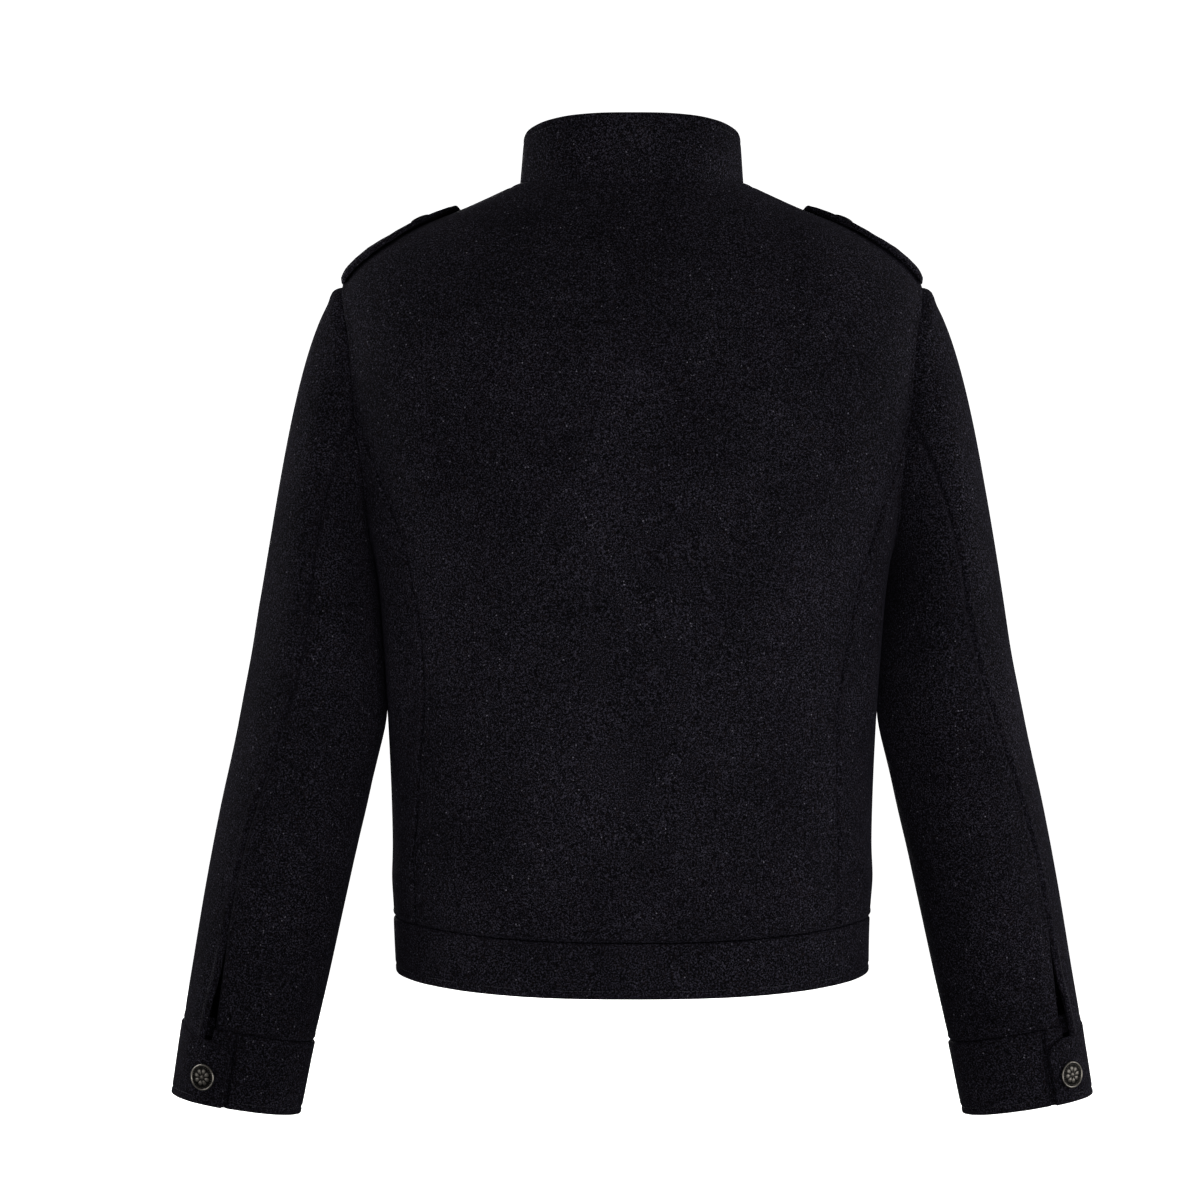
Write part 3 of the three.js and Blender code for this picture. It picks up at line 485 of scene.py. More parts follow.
def body_panel(name, low, high, from_turn, to_turn, count, moved):
    """A panel between two lines of the body's form. moved gives what else shifts its cloth in or out."""
    sides = rows_between(low, high)
    starts, ends = from_turn(sides), to_turn(sides)
    turns = np.array([spread(a, b, s, count) for a, b, s in zip(starts, ends, sides)])
    side = np.broadcast_to(sides[:, None], turns.shape)
    base, normal = ring_point(turns, side), body_normal(turns, side)
    out = body_out(base) + rolled(near_seams(base, body_seams), PLAIN_SEAM)
    out = out + rolled(near_seams(base, flat_seams), FLAT_SEAM)
    out = out - PRINCESS_EXTRA * np.exp(-((near_seams(base, list(princess_line.values())) / 1.3) ** 1.6))
    out = out + moved(turns, side, base)
    face = base + normal * out[..., None]
    return cloth_shell(name, shrunk(face), -normal)


def shrunk(face):
    """Draws a grid's border in by half a seam gap, so that neighbours don't touch."""
    held, gap = face.copy(), SEAM_GAP / 2
    held[0] += unit(face[2] - face[0]) * gap
    held[-1] += unit(face[-3] - face[-1]) * gap
    held[:, 0] += unit(face[:, 2] - face[:, 0]) * gap
    held[:, -1] += unit(face[:, -3] - face[:, -1]) * gap
    return held


# Back and side panels
# One wide back is cut without a centre seam; narrow side panels join it at the princess seams and the fronts
# at the side seams. Plain melton, sewn inside out and pressed.

mirror = np.array([-1.0, 1.0, 1.0])
SIDES = {"left": 1.0, "right": mirror}  # what turns the wearer's left into each side
waist_line = ring_point(np.linspace(-math.pi, math.pi, 400), WAIST)
neck_line = ring_point(np.linspace(-math.pi, math.pi, 300), NECK)
egg_loop_sides = np.concatenate([[SHOULDER_TIP], egg_rows[::-1], [ARMPIT], egg_rows, [SHOULDER_TIP]])
egg_loop_faces = ["back"] * (len(egg_rows) + 2) + ["front"] * (len(egg_rows) + 1)
egg_turns = np.array([armhole_turn(s, f)[0] for s, f in zip(egg_loop_sides, egg_loop_faces)])
armhole_line = {"left": ring_point(egg_turns, egg_loop_sides)}
armhole_line["right"] = armhole_line["left"] * mirror
seam_sides = np.linspace(WAIST, princess_top, 120)
princess_line = {
    "left": ring_point(princess_turn(seam_sides, "left"), seam_sides),
    "right": ring_point(princess_turn(seam_sides, "right"), seam_sides) * mirror,
}
shoulder_sides = np.linspace(SHOULDER_TIP, NECK, 60)
low_sides = np.linspace(WAIST, ARMPIT, 80)
shoulder_line = {"left": ring_point(math.pi / 2, shoulder_sides)}
shoulder_line["right"] = shoulder_line["left"] * mirror
side_line = {"left": ring_point(math.pi / 2, low_sides)}
side_line["right"] = side_line["left"] * mirror
body_seams, flat_seams = [waist_line], [neck_line]
for hand in ("left", "right"):
    body_seams += [armhole_line[hand], princess_line[hand], shoulder_line[hand]]
    flat_seams.append(side_line[hand])


RIDGE, RIDGE_AT, RIDGE_WIDTH = 1.1, 3.2, 2.4  # its height, distance from the armhole and half width


def armhole_ridge(turns, side, base):
    """The body's cloth stands over the sleeve as a low ridge beside the armhole."""
    away = near_seams(base, list(armhole_line.values()))
    return RIDGE * np.exp(-(((away - RIDGE_AT) / RIDGE_WIDTH) ** 2))


def back_edge(hand):
    def turn(side):
        return np.where(side < princess_top, princess_turn(side, hand), armhole_turn(side, "back"))

    return turn


left_edge, right_edge = back_edge("left"), back_edge("right")
back = body_panel(
    "back_cloth", WAIST, NECK, lambda s: -right_edge(s), left_edge, 132, armhole_ridge
)
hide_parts("back_panel")
side_low, side_high = WAIST, princess_top - PRINCESS_TIP
side_left = body_panel(
    "side_cloth_left", side_low, side_high, lambda s: princess_turn(s, "left"),
    lambda s: armhole_turn(s, "back"), 40, armhole_ridge,
)
side_right = body_panel(
    "side_cloth_right", side_low, side_high, lambda s: -princess_turn(s, "right"),
    lambda s: -armhole_turn(s, "back"), 40, armhole_ridge,
)
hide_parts("side_panel_left")
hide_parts("side_panel_right")

# Fronts
# Two fronts of the same cloth, the wearer's left lying over the right along the buttoned edge, which is
# turned back and pressed.

FRONT_EXTENSION = 20.0  # past the centre
EXTENSION_START, EXTENSION_RUN = -10.0, 22.0  # below the neck, where it starts and how soon it is whole
UNDERLAP = CLOTH + 0.7  # how deep the right front goes under the left
UNDERLAP_FROM, UNDERLAP_TO = 95.0, 48.0  # from the centre, where it starts to go in and is fully in


def front_edge(side):
    """The turn past the front centre at which a front's edge lies."""
    side = np.asarray(side, float)
    width = FRONT_EXTENSION * np.clip((EXTENSION_START - side) / EXTENSION_RUN, 0, 1) ** 0.5
    half, square = read(body, "side", side, "half"), read(body, "side", side, "square")
    return math.pi + np.arcsin((width / half) ** (square / 2))


def tucked(turns, side, base):
    """The right front's ridge, and how it goes in under the left front."""
    under = ease((UNDERLAP_FROM + base[..., 0]) / (UNDERLAP_FROM - UNDERLAP_TO))
    under = under * ease(side / EXTENSION_START)
    return armhole_ridge(turns, side, base) - UNDERLAP * under * (np.cos(turns) < 0)


front_left = body_panel(
    "front_cloth_left", WAIST, NECK, lambda s: armhole_turn(s, "front"), front_edge, 84, armhole_ridge
)
front_right = body_panel(
    "front_cloth_right", WAIST, NECK, lambda s: -armhole_turn(s, "front"), lambda s: -front_edge(s), 84,
    tucked,
)
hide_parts("front_left")
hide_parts("front_right")

# Sleeves
# Two-piece sleeves set into the armholes with a little ease in the cap. The elbow seam runs down the back of
# each sleeve and opens into a short vent above the cuff.

LEAVING = {
    "top": (0, 0.85, 0, 0.53, 0.42),
    "back": (90, 0.45, 0.24, 0.86, 0.75),
    "armpit": (180, 0.01, 0, 1, 0.9),
    "front": (270, 0.65, -0.3, 0.7, 0.75),
    "top again": (360, 0.85, 0, 0.53, 0.42),
}
ARM = {
    "upper arm": (335, 196.2, 291.5, 67, 1, 9),
    "biceps": (380, 191.4, 299, 67, 0, 10),
    "below the biceps": (408, 192.2, 304.8, 66.5, -1, 10.7),
    "above elbow": (440, 198.6, 311.4, 65, -2, 11),
    "elbow": (500, 211.5, 325, 61, -7, 11.3),
    "forearm": (560, 225, 337, 56, -14, 11.3),
    "lower forearm": (620, 238.5, 347.5, 51, -21, 11),
    "cuff seam": (664, 248.8, 355, 47, -26, 10.5),
    "cuff end": (725, 262, 364.5, 44, -32, 9.5),
}
ELBOW_SEAM = {
    "upper arm": (335, 79, 5.5),
    "biceps": (433, 63.5, 6.5),
    "elbow": (520, 53, 7),
    "forearm": (600, 51, 7),
    "cuff seam": (664, 54, 6),
    "cuff end": (722, 54.5, 5),
}
ELBOW_START, FRONT_START, FRONT_SEAM = 90.0, 250.0, 245.0
CUFF_TOP, CUFF_BOTTOM, CUFF_PROUD, CUFF_RISE = 664.0, 723.5, 1.2, 50.0
VENT_TOP, VENT_OPENING, VENT_DIP, VENT_DIP_START, VENT_STITCH = 598.0, 6.0, 9.0, 0.55, 6.0
CAP_ROWS, CAP_LENGTH = 44, 140.0
ARMHOLE_SINK = 1.6  # both cloths go down into the armhole seam by as much
SLEEVE_SEAM, CUFF_SEAM = 2.4, 1.2  # how deep the sleeve's cloth goes into each kind of seam
ARM_RADIUS, DEGREES = 58.0, 57.3  # the arm's mean radius, and the degrees in a radian
INNER_ANGLE, INNER_WIDTH = 167.0, 20.0  # where the sleeve rests against the body, in degrees round it
CAP_SWELL, CAP_SWELL_TOP, CAP_SWELL_AT = 0.7, 1.8, 8.0  # all round, more on top, and how far from the seam

# Folds of a sleeve: angle round it (0 outside, 90 behind), how far down, lean of its top towards larger
# angles, half length, half width and height.
SLEEVE_FOLDS = {
    "left": {
        "cap ease at the back": (62, 138, -16, 42, 7, 1.3),
        "drag from the armpit": (118, 262, 38, 62, 10, -2.0),
        "second drag from the armpit": (130, 312, 46, 60, 9, -1.6),
        "long fall on the outside": (24, 330, 6, 130, 15, 1.8),
        "hollow of the elbow, behind": (96, 432, 52, 52, 11, -2.0),
        "elbow ridge": (112, 466, 58, 50, 10, 1.7),
        "inner elbow crease": (204, 448, 74, 40, 10, -1.0),
        "inner elbow crease below": (210, 490, 66, 40, 10, -1.0),
        "front elbow crease": (262, 452, -62, 48, 9, -2.1),
        "front elbow ridge": (284, 492, -50, 54, 10, 1.7),
        "forearm fall": (78, 552, -10, 74, 12, 1.5),
        "forearm drag": (132, 590, 34, 50, 9, -1.5),
        "buckle above the cuff": (112, 640, 72, 38, 7, 1.2),
        "buckle above the cuff, outside": (330, 636, 66, 36, 7, 1.1),
        "front forearm trough": (300, 600, 12, 62, 11, -1.6),
    },
    "right": {
        "cap ease at the back": (58, 142, -20, 40, 7, 1.2),
        "drag from the armpit": (120, 250, 44, 66, 10, -2.1),
        "second drag from the armpit": (128, 300, 36, 56, 9, -1.6),
        "long fall on the outside": (30, 350, -5, 124, 15, 1.7),
        "hollow of the elbow, behind": (100, 418, 46, 56, 11, -2.1),
        "elbow ridge": (108, 462, 60, 52, 10, 1.6),
        "inner elbow crease": (206, 442, 70, 42, 10, -1.0),
        "inner elbow crease below": (208, 494, 60, 40, 10, -0.9),
        "front elbow crease": (266, 446, -58, 50, 9, -2.2),
        "front elbow ridge": (280, 500, -54, 50, 10, 1.6),
        "forearm fall": (84, 548, 8, 80, 12, 1.5),
        "forearm drag": (126, 584, 42, 48, 9, -1.6),
        "buckle above the cuff": (102, 636, 68, 40, 7, 1.1),
        "buckle above the cuff, outside": (336, 640, 70, 34, 7, 1.2),
        "front forearm trough": (296, 590, 16, 60, 11, -1.7),
    },
}
# How much nearer the body the inner side lies under the arm, where the sleeve rests against it
REST = {
    "armpit": (285, 2.6), "under the arm": (313, 3.5), "upper arm": (345, 2.5), "biceps": (372, 2.3),
    "above the elbow": (392, 3.0), "leaving the body": (408, 3.0), "below it": (445, 2.0), "free": (520, 0.0),
}
leaving = columns(LEAVING, ("angle", "out", "back", "down", "hold"))
resting_out = columns(REST, ("down", "out"))
arm = columns(ARM, ("down", "inner", "outer", "half_depth", "back", "tip"))
elbow_seam = columns(ELBOW_SEAM, ("down", "angle", "turn"))


def arm_point(angle, down, out=0.0):
    """A point of the arm, by its angle from the outer side over the back."""
    angle, down = np.radians(angle), np.asarray(down, float)
    inner, outer = read(arm, "down", down, "inner"), read(arm, "down", down, "outer")
    tip = np.radians(read(arm, "down", down, "tip"))
    outward = ((outer - inner) / 2 * np.cos(tip) + out) * np.cos(angle)
    return points(
        (inner + outer) / 2 + outward * np.cos(tip),
        read(arm, "down", down, "back") + (read(arm, "down", down, "half_depth") + out) * np.sin(angle),
        -down + outward * np.sin(tip),
    )


def elbow_angle(down, hand):
    turned = 1 if hand == "left" else -1
    return read(elbow_seam, "down", down, "angle") + turned * read(elbow_seam, "down", down, "turn")


loop_points = armhole_line["left"][:-1]
loop_normals = body_normal(egg_turns, egg_loop_sides)[:-1]
loop_y = loop_points[:, 1] / np.where(loop_points[:, 1] > 0, ARMHOLE_DEPTH["back"], ARMHOLE_DEPTH["front"])
loop_angles = np.degrees(np.arctan2(loop_y, (loop_points[:, 2] - ARMHOLE_MIDDLE) / ARMHOLE_HALF))
loop_angles[ARMHOLE_STEPS + 1 :] += 360


def at_armhole(angle, values):
    """Values round the armhole, read at other angles."""
    order = np.concatenate([loop_angles, [loop_angles[0] + 360]])
    rows = np.concatenate([values, values[:1]])
    return np.stack([np.interp(np.mod(angle, 360), order, rows[:, i]) for i in range(rows.shape[1])], axis=-1)


def arm_angle(angle, down, hand):
    """Moves an angle at the armhole to its place round the arm, so that both seams stay on their lines."""
    elbow = elbow_angle(down, hand)
    under = elbow + (FRONT_SEAM - elbow) * (angle - ELBOW_START) / (FRONT_START - ELBOW_START)
    share = (angle - FRONT_START) / (ELBOW_START + 360 - FRONT_START)
    return np.where(angle <= FRONT_START, under, FRONT_SEAM + (elbow + 360 - FRONT_SEAM) * share)


def sleeve_face(angles, hand):
    """Rows of points from the armhole to the cuff seam, with the distance down and angle of each."""
    first = arm["down"][0]
    start_point = at_armhole(angles, loop_points)
    start_normal = unit(at_armhole(angles, loop_normals))
    wrapped = np.mod(angles, 360)
    leave = unit(points(*(read(leaving, "angle", wrapped, c) for c in ("out", "back", "down"))) * [1, 1, -1])
    hold = read(leaving, "angle", wrapped, "hold")[:, None]
    start = start_point + (start_normal + leave) * SEAM_GAP * 0.9
    end_angle = arm_angle(angles, first, hand)
    end = arm_point(end_angle, first)
    into = unit(arm_point(end_angle, first + 1) - end)
    reach = np.linalg.norm(end - start, axis=1, keepdims=True)
    cap = []
    edge = np.array(EDGE_GRID) / CAP_LENGTH
    for t in np.concatenate([edge[:-1], np.linspace(edge[-1], 1, CAP_ROWS)[:-1]]):
        cap.append(
            start * (1 + 2 * t) * (1 - t) ** 2 + leave * reach * hold * t * (1 - t) ** 2
            + into * reach * t * t * (t - 1) + end * t * t * (3 - 2 * t)
        )
    edge = CUFF_TOP - np.array(EDGE_GRID)[::-1]
    downs = np.concatenate([np.arange(first, edge[0] - GRID / 2, GRID), edge])
    rest = [arm_point(arm_angle(angles, d, hand), d) for d in downs]
    grid = np.array(cap + rest)
    down = -grid[..., 2]
    down[len(cap) :] = downs[:, None]
    around = np.array([end_angle] * len(cap) + [arm_angle(angles, d, hand) for d in downs])
    return grid, down, around


def sleeve_out(down, around, hand):
    """Height of the sleeve's folds, measured across the cloth at the arm's mean radius."""
    table = {
        name: (math.radians(angle) * ARM_RADIUS, -below, *rest)
        for name, (angle, below, *rest) in SLEEVE_FOLDS[hand].items()
    }
    total = np.zeros(down.shape)
    for turn in (-360, 0, 360):
        total += fold_height(table, np.radians(around + turn) * ARM_RADIUS, -down)
    inside = np.exp(-(((np.mod(around, 360) - INNER_ANGLE) / INNER_WIDTH) ** 2))
    resting = read(resting_out, "down", np.clip(down, 290, 520), "out")
    held = 1 - 0.85 * inside * ease((470 - down) / 70)
    return total * ease((down - 110) / 60) * held + resting * inside


def angle_steps(start, stop, count):
    """Angles round the arm, closer beside both seams."""
    edge = np.array(EDGE_GRID) / ARM_RADIUS * DEGREES
    inner = np.linspace(start + edge[-1], stop - edge[-1], count - 2 * len(edge) + 2)
    return np.concatenate([start + edge[:-1], inner, (stop - edge[:-1])[::-1]])


def vent_drop(share):
    """How much lower the cuff seam lies towards the vent, by the share of the way round to it."""
    return VENT_DIP * ease((share - VENT_DIP_START) / (1 - VENT_DIP_START))


vent_lines = {}
for hand, flip in SIDES.items():
    elbow_line = sleeve_face(np.array([ELBOW_START]), hand)[0][:, 0]
    front_line = sleeve_face(np.array([FRONT_START]), hand)[0][:, 0]
    cuff_line = arm_point(np.linspace(0, 360, 200), CUFF_TOP)
    for part, start, stop, count, flat, area in (
        ("under", ELBOW_START, FRONT_START, 50, (0.226, 0.525), 0.094),
        ("top", FRONT_START, ELBOW_START + 360, 72, (0.225, 0.64), 0.1195),
    ):
        angles = angle_steps(start, stop, count)
        grid, down, around = sleeve_face(angles, hand)
        normal = -unit(np.cross(np.gradient(grid, axis=0), np.gradient(grid, axis=1)))
        outward = normal * np.sign((normal * (grid - grid.mean(axis=1, keepdims=True))).sum(-1).mean())
        away, from_cuff = near_seams(grid, [elbow_line, front_line]), near_seams(grid, [cuff_line])
        from_armhole = near_seams(grid, [armhole_line["left"]])
        on_top = np.exp(-(((np.mod(around + 180, 360) - 180) / 35) ** 2))
        swell = (CAP_SWELL + CAP_SWELL_TOP * on_top) * np.exp(-(((from_armhole - CAP_SWELL_AT) / 6) ** 2))
        out = sleeve_out(down, around, hand) + rolled(away, SLEEVE_SEAM) + rolled(from_cuff, CUFF_SEAM)
        out = out + swell
        vent_edge = 0 if part == "under" else count - 1
        open_by = VENT_OPENING / 2 * ease((down[:, vent_edge] - VENT_TOP) / (CUFF_TOP - VENT_TOP))
        from_vent = near_seams(grid, [elbow_line])
        vented = ease((down - VENT_TOP + 12) / 24)
        out = out + vented * 1.5 * np.exp(-((from_vent / 5) ** 2)) * (1 if part == "top" else -0.8)
        if part == "top":
            rise = ease((around - 360 - elbow_angle(CUFF_TOP, hand)) / CUFF_RISE + 1)
            out = out + (DOUBLED + LAP_GAP + 0.6) * rise * ease((down - CUFF_TOP + 45) / 45)
            out = out + 1.0 * rise * np.exp(-((from_cuff / 1.7) ** 1.6))
            out = out - 0.5 * vented * np.exp(-(((from_vent - VENT_STITCH - VENT_OPENING / 2) / 1.1) ** 2))
        beside = np.exp(-((from_armhole / 2.2) ** 1.5))[..., None]
        into_body = unit(at_armhole(angles, loop_normals))[None] * beside
        face = grid + outward * out[..., None] - ARMHOLE_SINK * into_body
        if part == "top":
            lengthwise = unit(grid[-1] - grid[-3])
            drop = vent_drop((around[-1] - around[-1, 0]) / (around[-1, -1] - around[-1, 0]))
            near_cuff = ease((down - CUFF_TOP) / 26 + 1)
            face = face + lengthwise[None] * drop[None, :, None] * near_cuff[..., None]
        towards = 1 if part == "under" else -1
        across = unit(face[:, vent_edge + 2 * towards] - face[:, vent_edge])
        fade = np.clip(1 - np.abs(np.arange(count) - vent_edge) / 14, 0, 1)
        face = face + across[:, None] * open_by[:, None, None] * fade[None, :, None]
        if part == "top":
            vent_rows = np.where(down[:, -1] > VENT_TOP + 4)[0][:-2]
            reach = np.linalg.norm(face[vent_rows, ::-1] - face[vent_rows, -1:], axis=2)
            backwards = face[vent_rows, ::-1]
            line = np.array([
                [np.interp(VENT_STITCH, run, row[:, i]) for i in range(3)]
                for run, row in zip(reach, backwards)
            ])
            vent_lines[hand] = (line * flip, outward[vent_rows, -9] * flip)
        name = f"sleeve_{part}_cloth_{hand}"
        made = cloth_shell(name, shrunk(face) * flip, -outward * flip)
        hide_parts(f"sleeve_{part}_{hand}")

# Doubled bands
# Collar, waistband, cuffs and straps are each cut double, turned, pressed and edge-stitched, so they have a
# full rounded edge and a shallow line of stitching a little way in from it.

STITCH_INSET, STITCH_SINK = 6.0, 0.7
END_STEPS = (0.0, 0.08, 0.3, 0.7, 1.2, 2.0, 3.2, 5.0)


def band_outline(height, grooves):
    """Distance from the band's top and depth under its face, once round a doubled band."""
    half = DOUBLED / 2
    flat = np.arange(0, 1.0001, 1 / max(8, round(height / 2.2)))
    run = half + (height - DOUBLED) * flat
    bend = np.radians(np.arange(75, -76, -15))
    foot = np.stack([height - half + half * np.cos(bend), -half + half * np.sin(bend)], axis=-1)
    head = np.stack([half - half * np.cos(bend), -half - half * np.sin(bend)], axis=-1)
    sunk = sum(STITCH_SINK * np.exp(-((run - (g if g >= 0 else height + g)) ** 2)) for g in grooves)
    front = np.stack([run, -sunk], axis=-1)
    wrong = np.stack([run[::-1], -DOUBLED + sunk[::-1]], axis=-1)
    return np.concatenate([front, foot, wrong, head])


def stations(start, stop, place, close=()):
    """Steps along a band, closer at its two ends, as values of its own turn. close adds turns of its own."""
    fine = np.linspace(start, stop, 1200)
    line = place(fine)
    run = np.concatenate([[0], np.cumsum(np.linalg.norm(np.diff(line, axis=0), axis=1))])
    end = np.array(END_STEPS)
    inner = np.linspace(end[-1], run[-1] - end[-1], max(4, round((run[-1] - 2 * end[-1]) / GRID)))
    steps = np.concatenate([end[:-1], inner, (run[-1] - end[:-1])[::-1]])
    steps = np.unique(np.concatenate([steps, np.interp(close, fine, run)]))
    return np.interp(steps, run, fine), np.minimum(steps, run[-1] - steps)


def band_height(place, turns):
    """A band's height at each turn."""
    nought = np.zeros(turns.shape)
    return np.linalg.norm(place(turns, nought, nought) - place(turns, nought + 1, nought), axis=1)


def band(name, start, stop, place, grooves, soft, close=()):
    """A doubled band swept along its turn. place(turn, across, out) gives a point, across from top to foot,
    grooves are its stitched lines and soft its swelling."""

    def centre(turns):
        return place(turns, np.full(turns.shape, 0.5), np.zeros(turns.shape))

    turns, from_end = stations(start, stop, centre, close)
    height = band_height(place, turns).mean()
    outline = band_outline(height, grooves)
    count, half = len(outline), DOUBLED / 2
    run, depth = outline[:, 0] / height, outline[:, 1]
    on_face = 1 - 2 * np.abs(depth + half) / DOUBLED < 0.2
    rows = []
    for turn, away in zip(turns, from_end):
        near = np.clip(away / half, 0, 1)
        thick = math.sqrt(1 - (1 - near) ** 2)
        edge = STITCH_INSET - away
        pressed = STITCH_SINK * math.exp(-edge * edge) * on_face
        out = -half + (depth + half) * thick - np.sign(depth + half) * pressed
        rows.append(place(np.full(count, turn), run, out + soft(turn, run) * near))
    faces = grid_faces(len(rows), count, closed=True)
    return piece(name, np.array(rows).reshape(-1, 3), faces, melton)


def wobble(turn, run, seed, amount):
    """Slow uneven swelling of a pressed band, the same on each run."""
    first = np.sin(turn * 7.3 + seed) * np.sin(run * 3.1 + seed * 1.7)
    second = np.sin(turn * 17.9 + seed * 2.3 + run * 2.0)
    return amount * (0.65 * first + 0.35 * second)


# Waistband
# One long doubled strip, its left end buttoned over its right end at the front centre.

WAISTBAND_COLUMNS = ("side", "back", "front", "slope", "half", "behind", "ahead")
WAISTBAND = {
    "top": dict(zip(WAISTBAND_COLUMNS, (-572, -585, -579, 0, 186, 120.5, 115))),
    "hem": dict(zip(WAISTBAND_COLUMNS, (-614.5, -627.4, -617, -6, 184.6, 121, 115))),
}
WAIST_SQUARE, WAIST_OVERLAP = 2.5, 20.0
LAP_RISE, LAP_RISE_SPAN = 0.22, 0.4  # radians from the under end, where it comes out, and over how many


def edge_point(ring, square, turn, out):
    """A point of a band's edge, one ring round the body."""
    at_back = np.cos(turn) >= 0
    power = 2 / square
    rest_back = ring["back"] - ring["side"] - ring["slope"]
    rest_front = ring["front"] - ring["side"] + ring["slope"]
    rest = np.where(at_back, rest_back, rest_front)
    return points(
        (ring["half"] + out) * signed_power(np.sin(turn), power),
        (np.where(at_back, ring["behind"], ring["ahead"]) + out) * signed_power(np.cos(turn), power),
        ring["side"] + ring["slope"] * np.cos(turn) + rest * np.cos(turn) ** 2,
    )


def between(upper, lower, across):
    return upper + (lower - upper) * np.asarray(across)[..., None]


lap_turn = math.asin((WAIST_OVERLAP / WAISTBAND["top"]["half"]) ** (WAIST_SQUARE / 2))
band_from, band_to = math.pi - lap_turn, 3 * math.pi + lap_turn


def waistband_point(turn, across, out):
    under = (DOUBLED + LAP_GAP) * (1 - ease((turn - band_from - LAP_RISE) / LAP_RISE_SPAN))
    upper = edge_point(WAISTBAND["top"], WAIST_SQUARE, turn, out - under) - [0, 0, SEAM_GAP]
    return between(upper, edge_point(WAISTBAND["hem"], WAIST_SQUARE, turn, out - under), across)


waistband = band(
    "waistband_cloth", band_from, band_to, waistband_point, (-STITCH_INSET,),
    lambda t, r: wobble(t, r, 0.4, 0.45),
)
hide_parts("waistband")

# Collar
# A doubled stand collar, stiffened, sewn to the neck and meeting edge to edge at the front.

COLLAR_TOP = dict(zip(WAISTBAND_COLUMNS, (34.5, 49.5, -17, 15, 84.6, 57, 62)))
COLLAR_SQUARE, COLLAR_OPENING = 2.75, 2.0
COLLAR_SETTLE = 0.9  # its foot sinks a little into the neck's cloth
collar_start = math.asin((COLLAR_OPENING / 2 / body["half"][-1]) ** (body["square"][-1] / 2))
collar_from, collar_to = -math.pi + collar_start, math.pi - collar_start


def collar_point(turn, across, out):
    normal = body_normal(turn, NECK)
    level = unit(normal * [1, 1, 0])
    middle = unit(normal + level)
    sewn = middle / (middle * level).sum(-1, keepdims=True)
    foot = ring_point(turn, NECK) - [0, 0, COLLAR_SETTLE] + sewn * np.asarray(out)[..., None]
    return between(edge_point(COLLAR_TOP, COLLAR_SQUARE, turn, out), foot, across)


collar = band(
    "collar_cloth", collar_from, collar_to, collar_point, (STITCH_INSET,), lambda t, r: wobble(t, r, 2.1, 0.4)
)
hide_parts("collar")

# Cuffs
# Doubled band cuffs. The end on the top sleeve's side laps over the other end below the vent, has a rounded
# corner and carries the button.

CUFF_OVERLAP, CUFF_CORNER, CUFF_CORNER_SPAN = 22.0, 12.0, 20.0
CUFF_BUTTON_AT, CUFF_BUTTON_PAST = 0.64, 4.0  # share of the way down, and degrees past the elbow seam
CUFF_PRESS, CUFF_PRESS_AT = 2.8, 1.2  # the under end's groove: its depth, and degrees past the lapped end


def cuff_lift(angle, seam):
    """How far the cuff stands off the arm: more towards its lapped end."""
    return CUFF_PROUD + (DOUBLED + LAP_GAP) * ease((angle - 360 - seam) / CUFF_RISE + 1)


def cuff_point_of(hand, flip):
    """A cuff's place function, and the angles at which the cuff starts and stops."""
    seam = float(elbow_angle(CUFF_TOP, hand))
    stop = 360 + seam + CUFF_OVERLAP

    def place(angle, across, out):
        near_end = np.clip(1 - (stop - angle) / CUFF_CORNER_SPAN, 0, 1)
        share = (angle - FRONT_SEAM) / (360 + seam - FRONT_SEAM)
        top = CUFF_TOP + SEAM_GAP + vent_drop(share) + CUFF_CORNER * (1 - np.sqrt(1 - near_end**2))
        down = top + (CUFF_BOTTOM - top) * np.asarray(across)
        return arm_point(angle, down, cuff_lift(angle, seam) + out) * flip

    return place, seam + 2, stop


def cuff_soft(seed, beside):
    """Slow swelling, and a groove in the under end where the lapped end presses on it."""

    def soft(turn, run):
        groove = CUFF_PRESS * math.exp(-(((turn - beside) / 2.0) ** 2))
        return wobble(math.radians(turn), run, seed, 0.4) - groove

    return soft


cuff_places = {}
for hand, flip in SIDES.items():
    place, start, stop = cuff_point_of(hand, flip)
    cuff_places[hand] = (place, start, stop)
    seed = 0.9 if hand == "left" else 3.3
    beside = stop - 360 + CUFF_PRESS_AT
    cuff = band(
        f"cuff_cloth_{hand}", start, stop, place, (-STITCH_INSET,), cuff_soft(seed, beside),
        beside + np.arange(-5, 5.1, 0.5),
    )
    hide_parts(f"cuff_{hand}")

# Shoulder straps
# Doubled straps sewn into the armhole at the shoulder tip. Each narrows to a blunt point near the collar,
# where a small button holds it, and its edges stand a little off the shoulder.

STRAP_OUTER, STRAP_INNER = (-79.5, -8.0, 27.0), (-21.5, -19.0, 22.0)  # side height, middle, half width
STRAP_BOW = 14.0  # how far back it bows between its ends
STRAP_POINT, STRAP_NARROWING, STRAP_BUTTON_AT = 0.84, 0.5, 0.8
STRAP_LIFT, STRAP_EDGE_LIFT, STRAP_END_LIFT = 0.9, 0.8, 1.0


def strap_point(t, across, out):
    side, middle, half = (a + (b - a) * t for a, b in zip(STRAP_OUTER, STRAP_INNER))
    into_point = np.maximum(0, t - STRAP_POINT) / (1 - STRAP_POINT)
    half = half * (1 - STRAP_NARROWING * into_point**2)
    y = middle + STRAP_BOW * 4 * t * (1 - t) + across * half
    depth = np.where(y >= 0, read(body, "side", side, "behind"), read(body, "side", side, "ahead"))
    turn = np.arccos(signed_power(y / depth, read(body, "side", side, "square") / 2))
    lift = STRAP_LIFT + STRAP_EDGE_LIFT * across**2 + STRAP_END_LIFT * t**4
    base = ring_point(turn, side)
    return base + body_normal(turn, side) * (lift + out)[..., None]


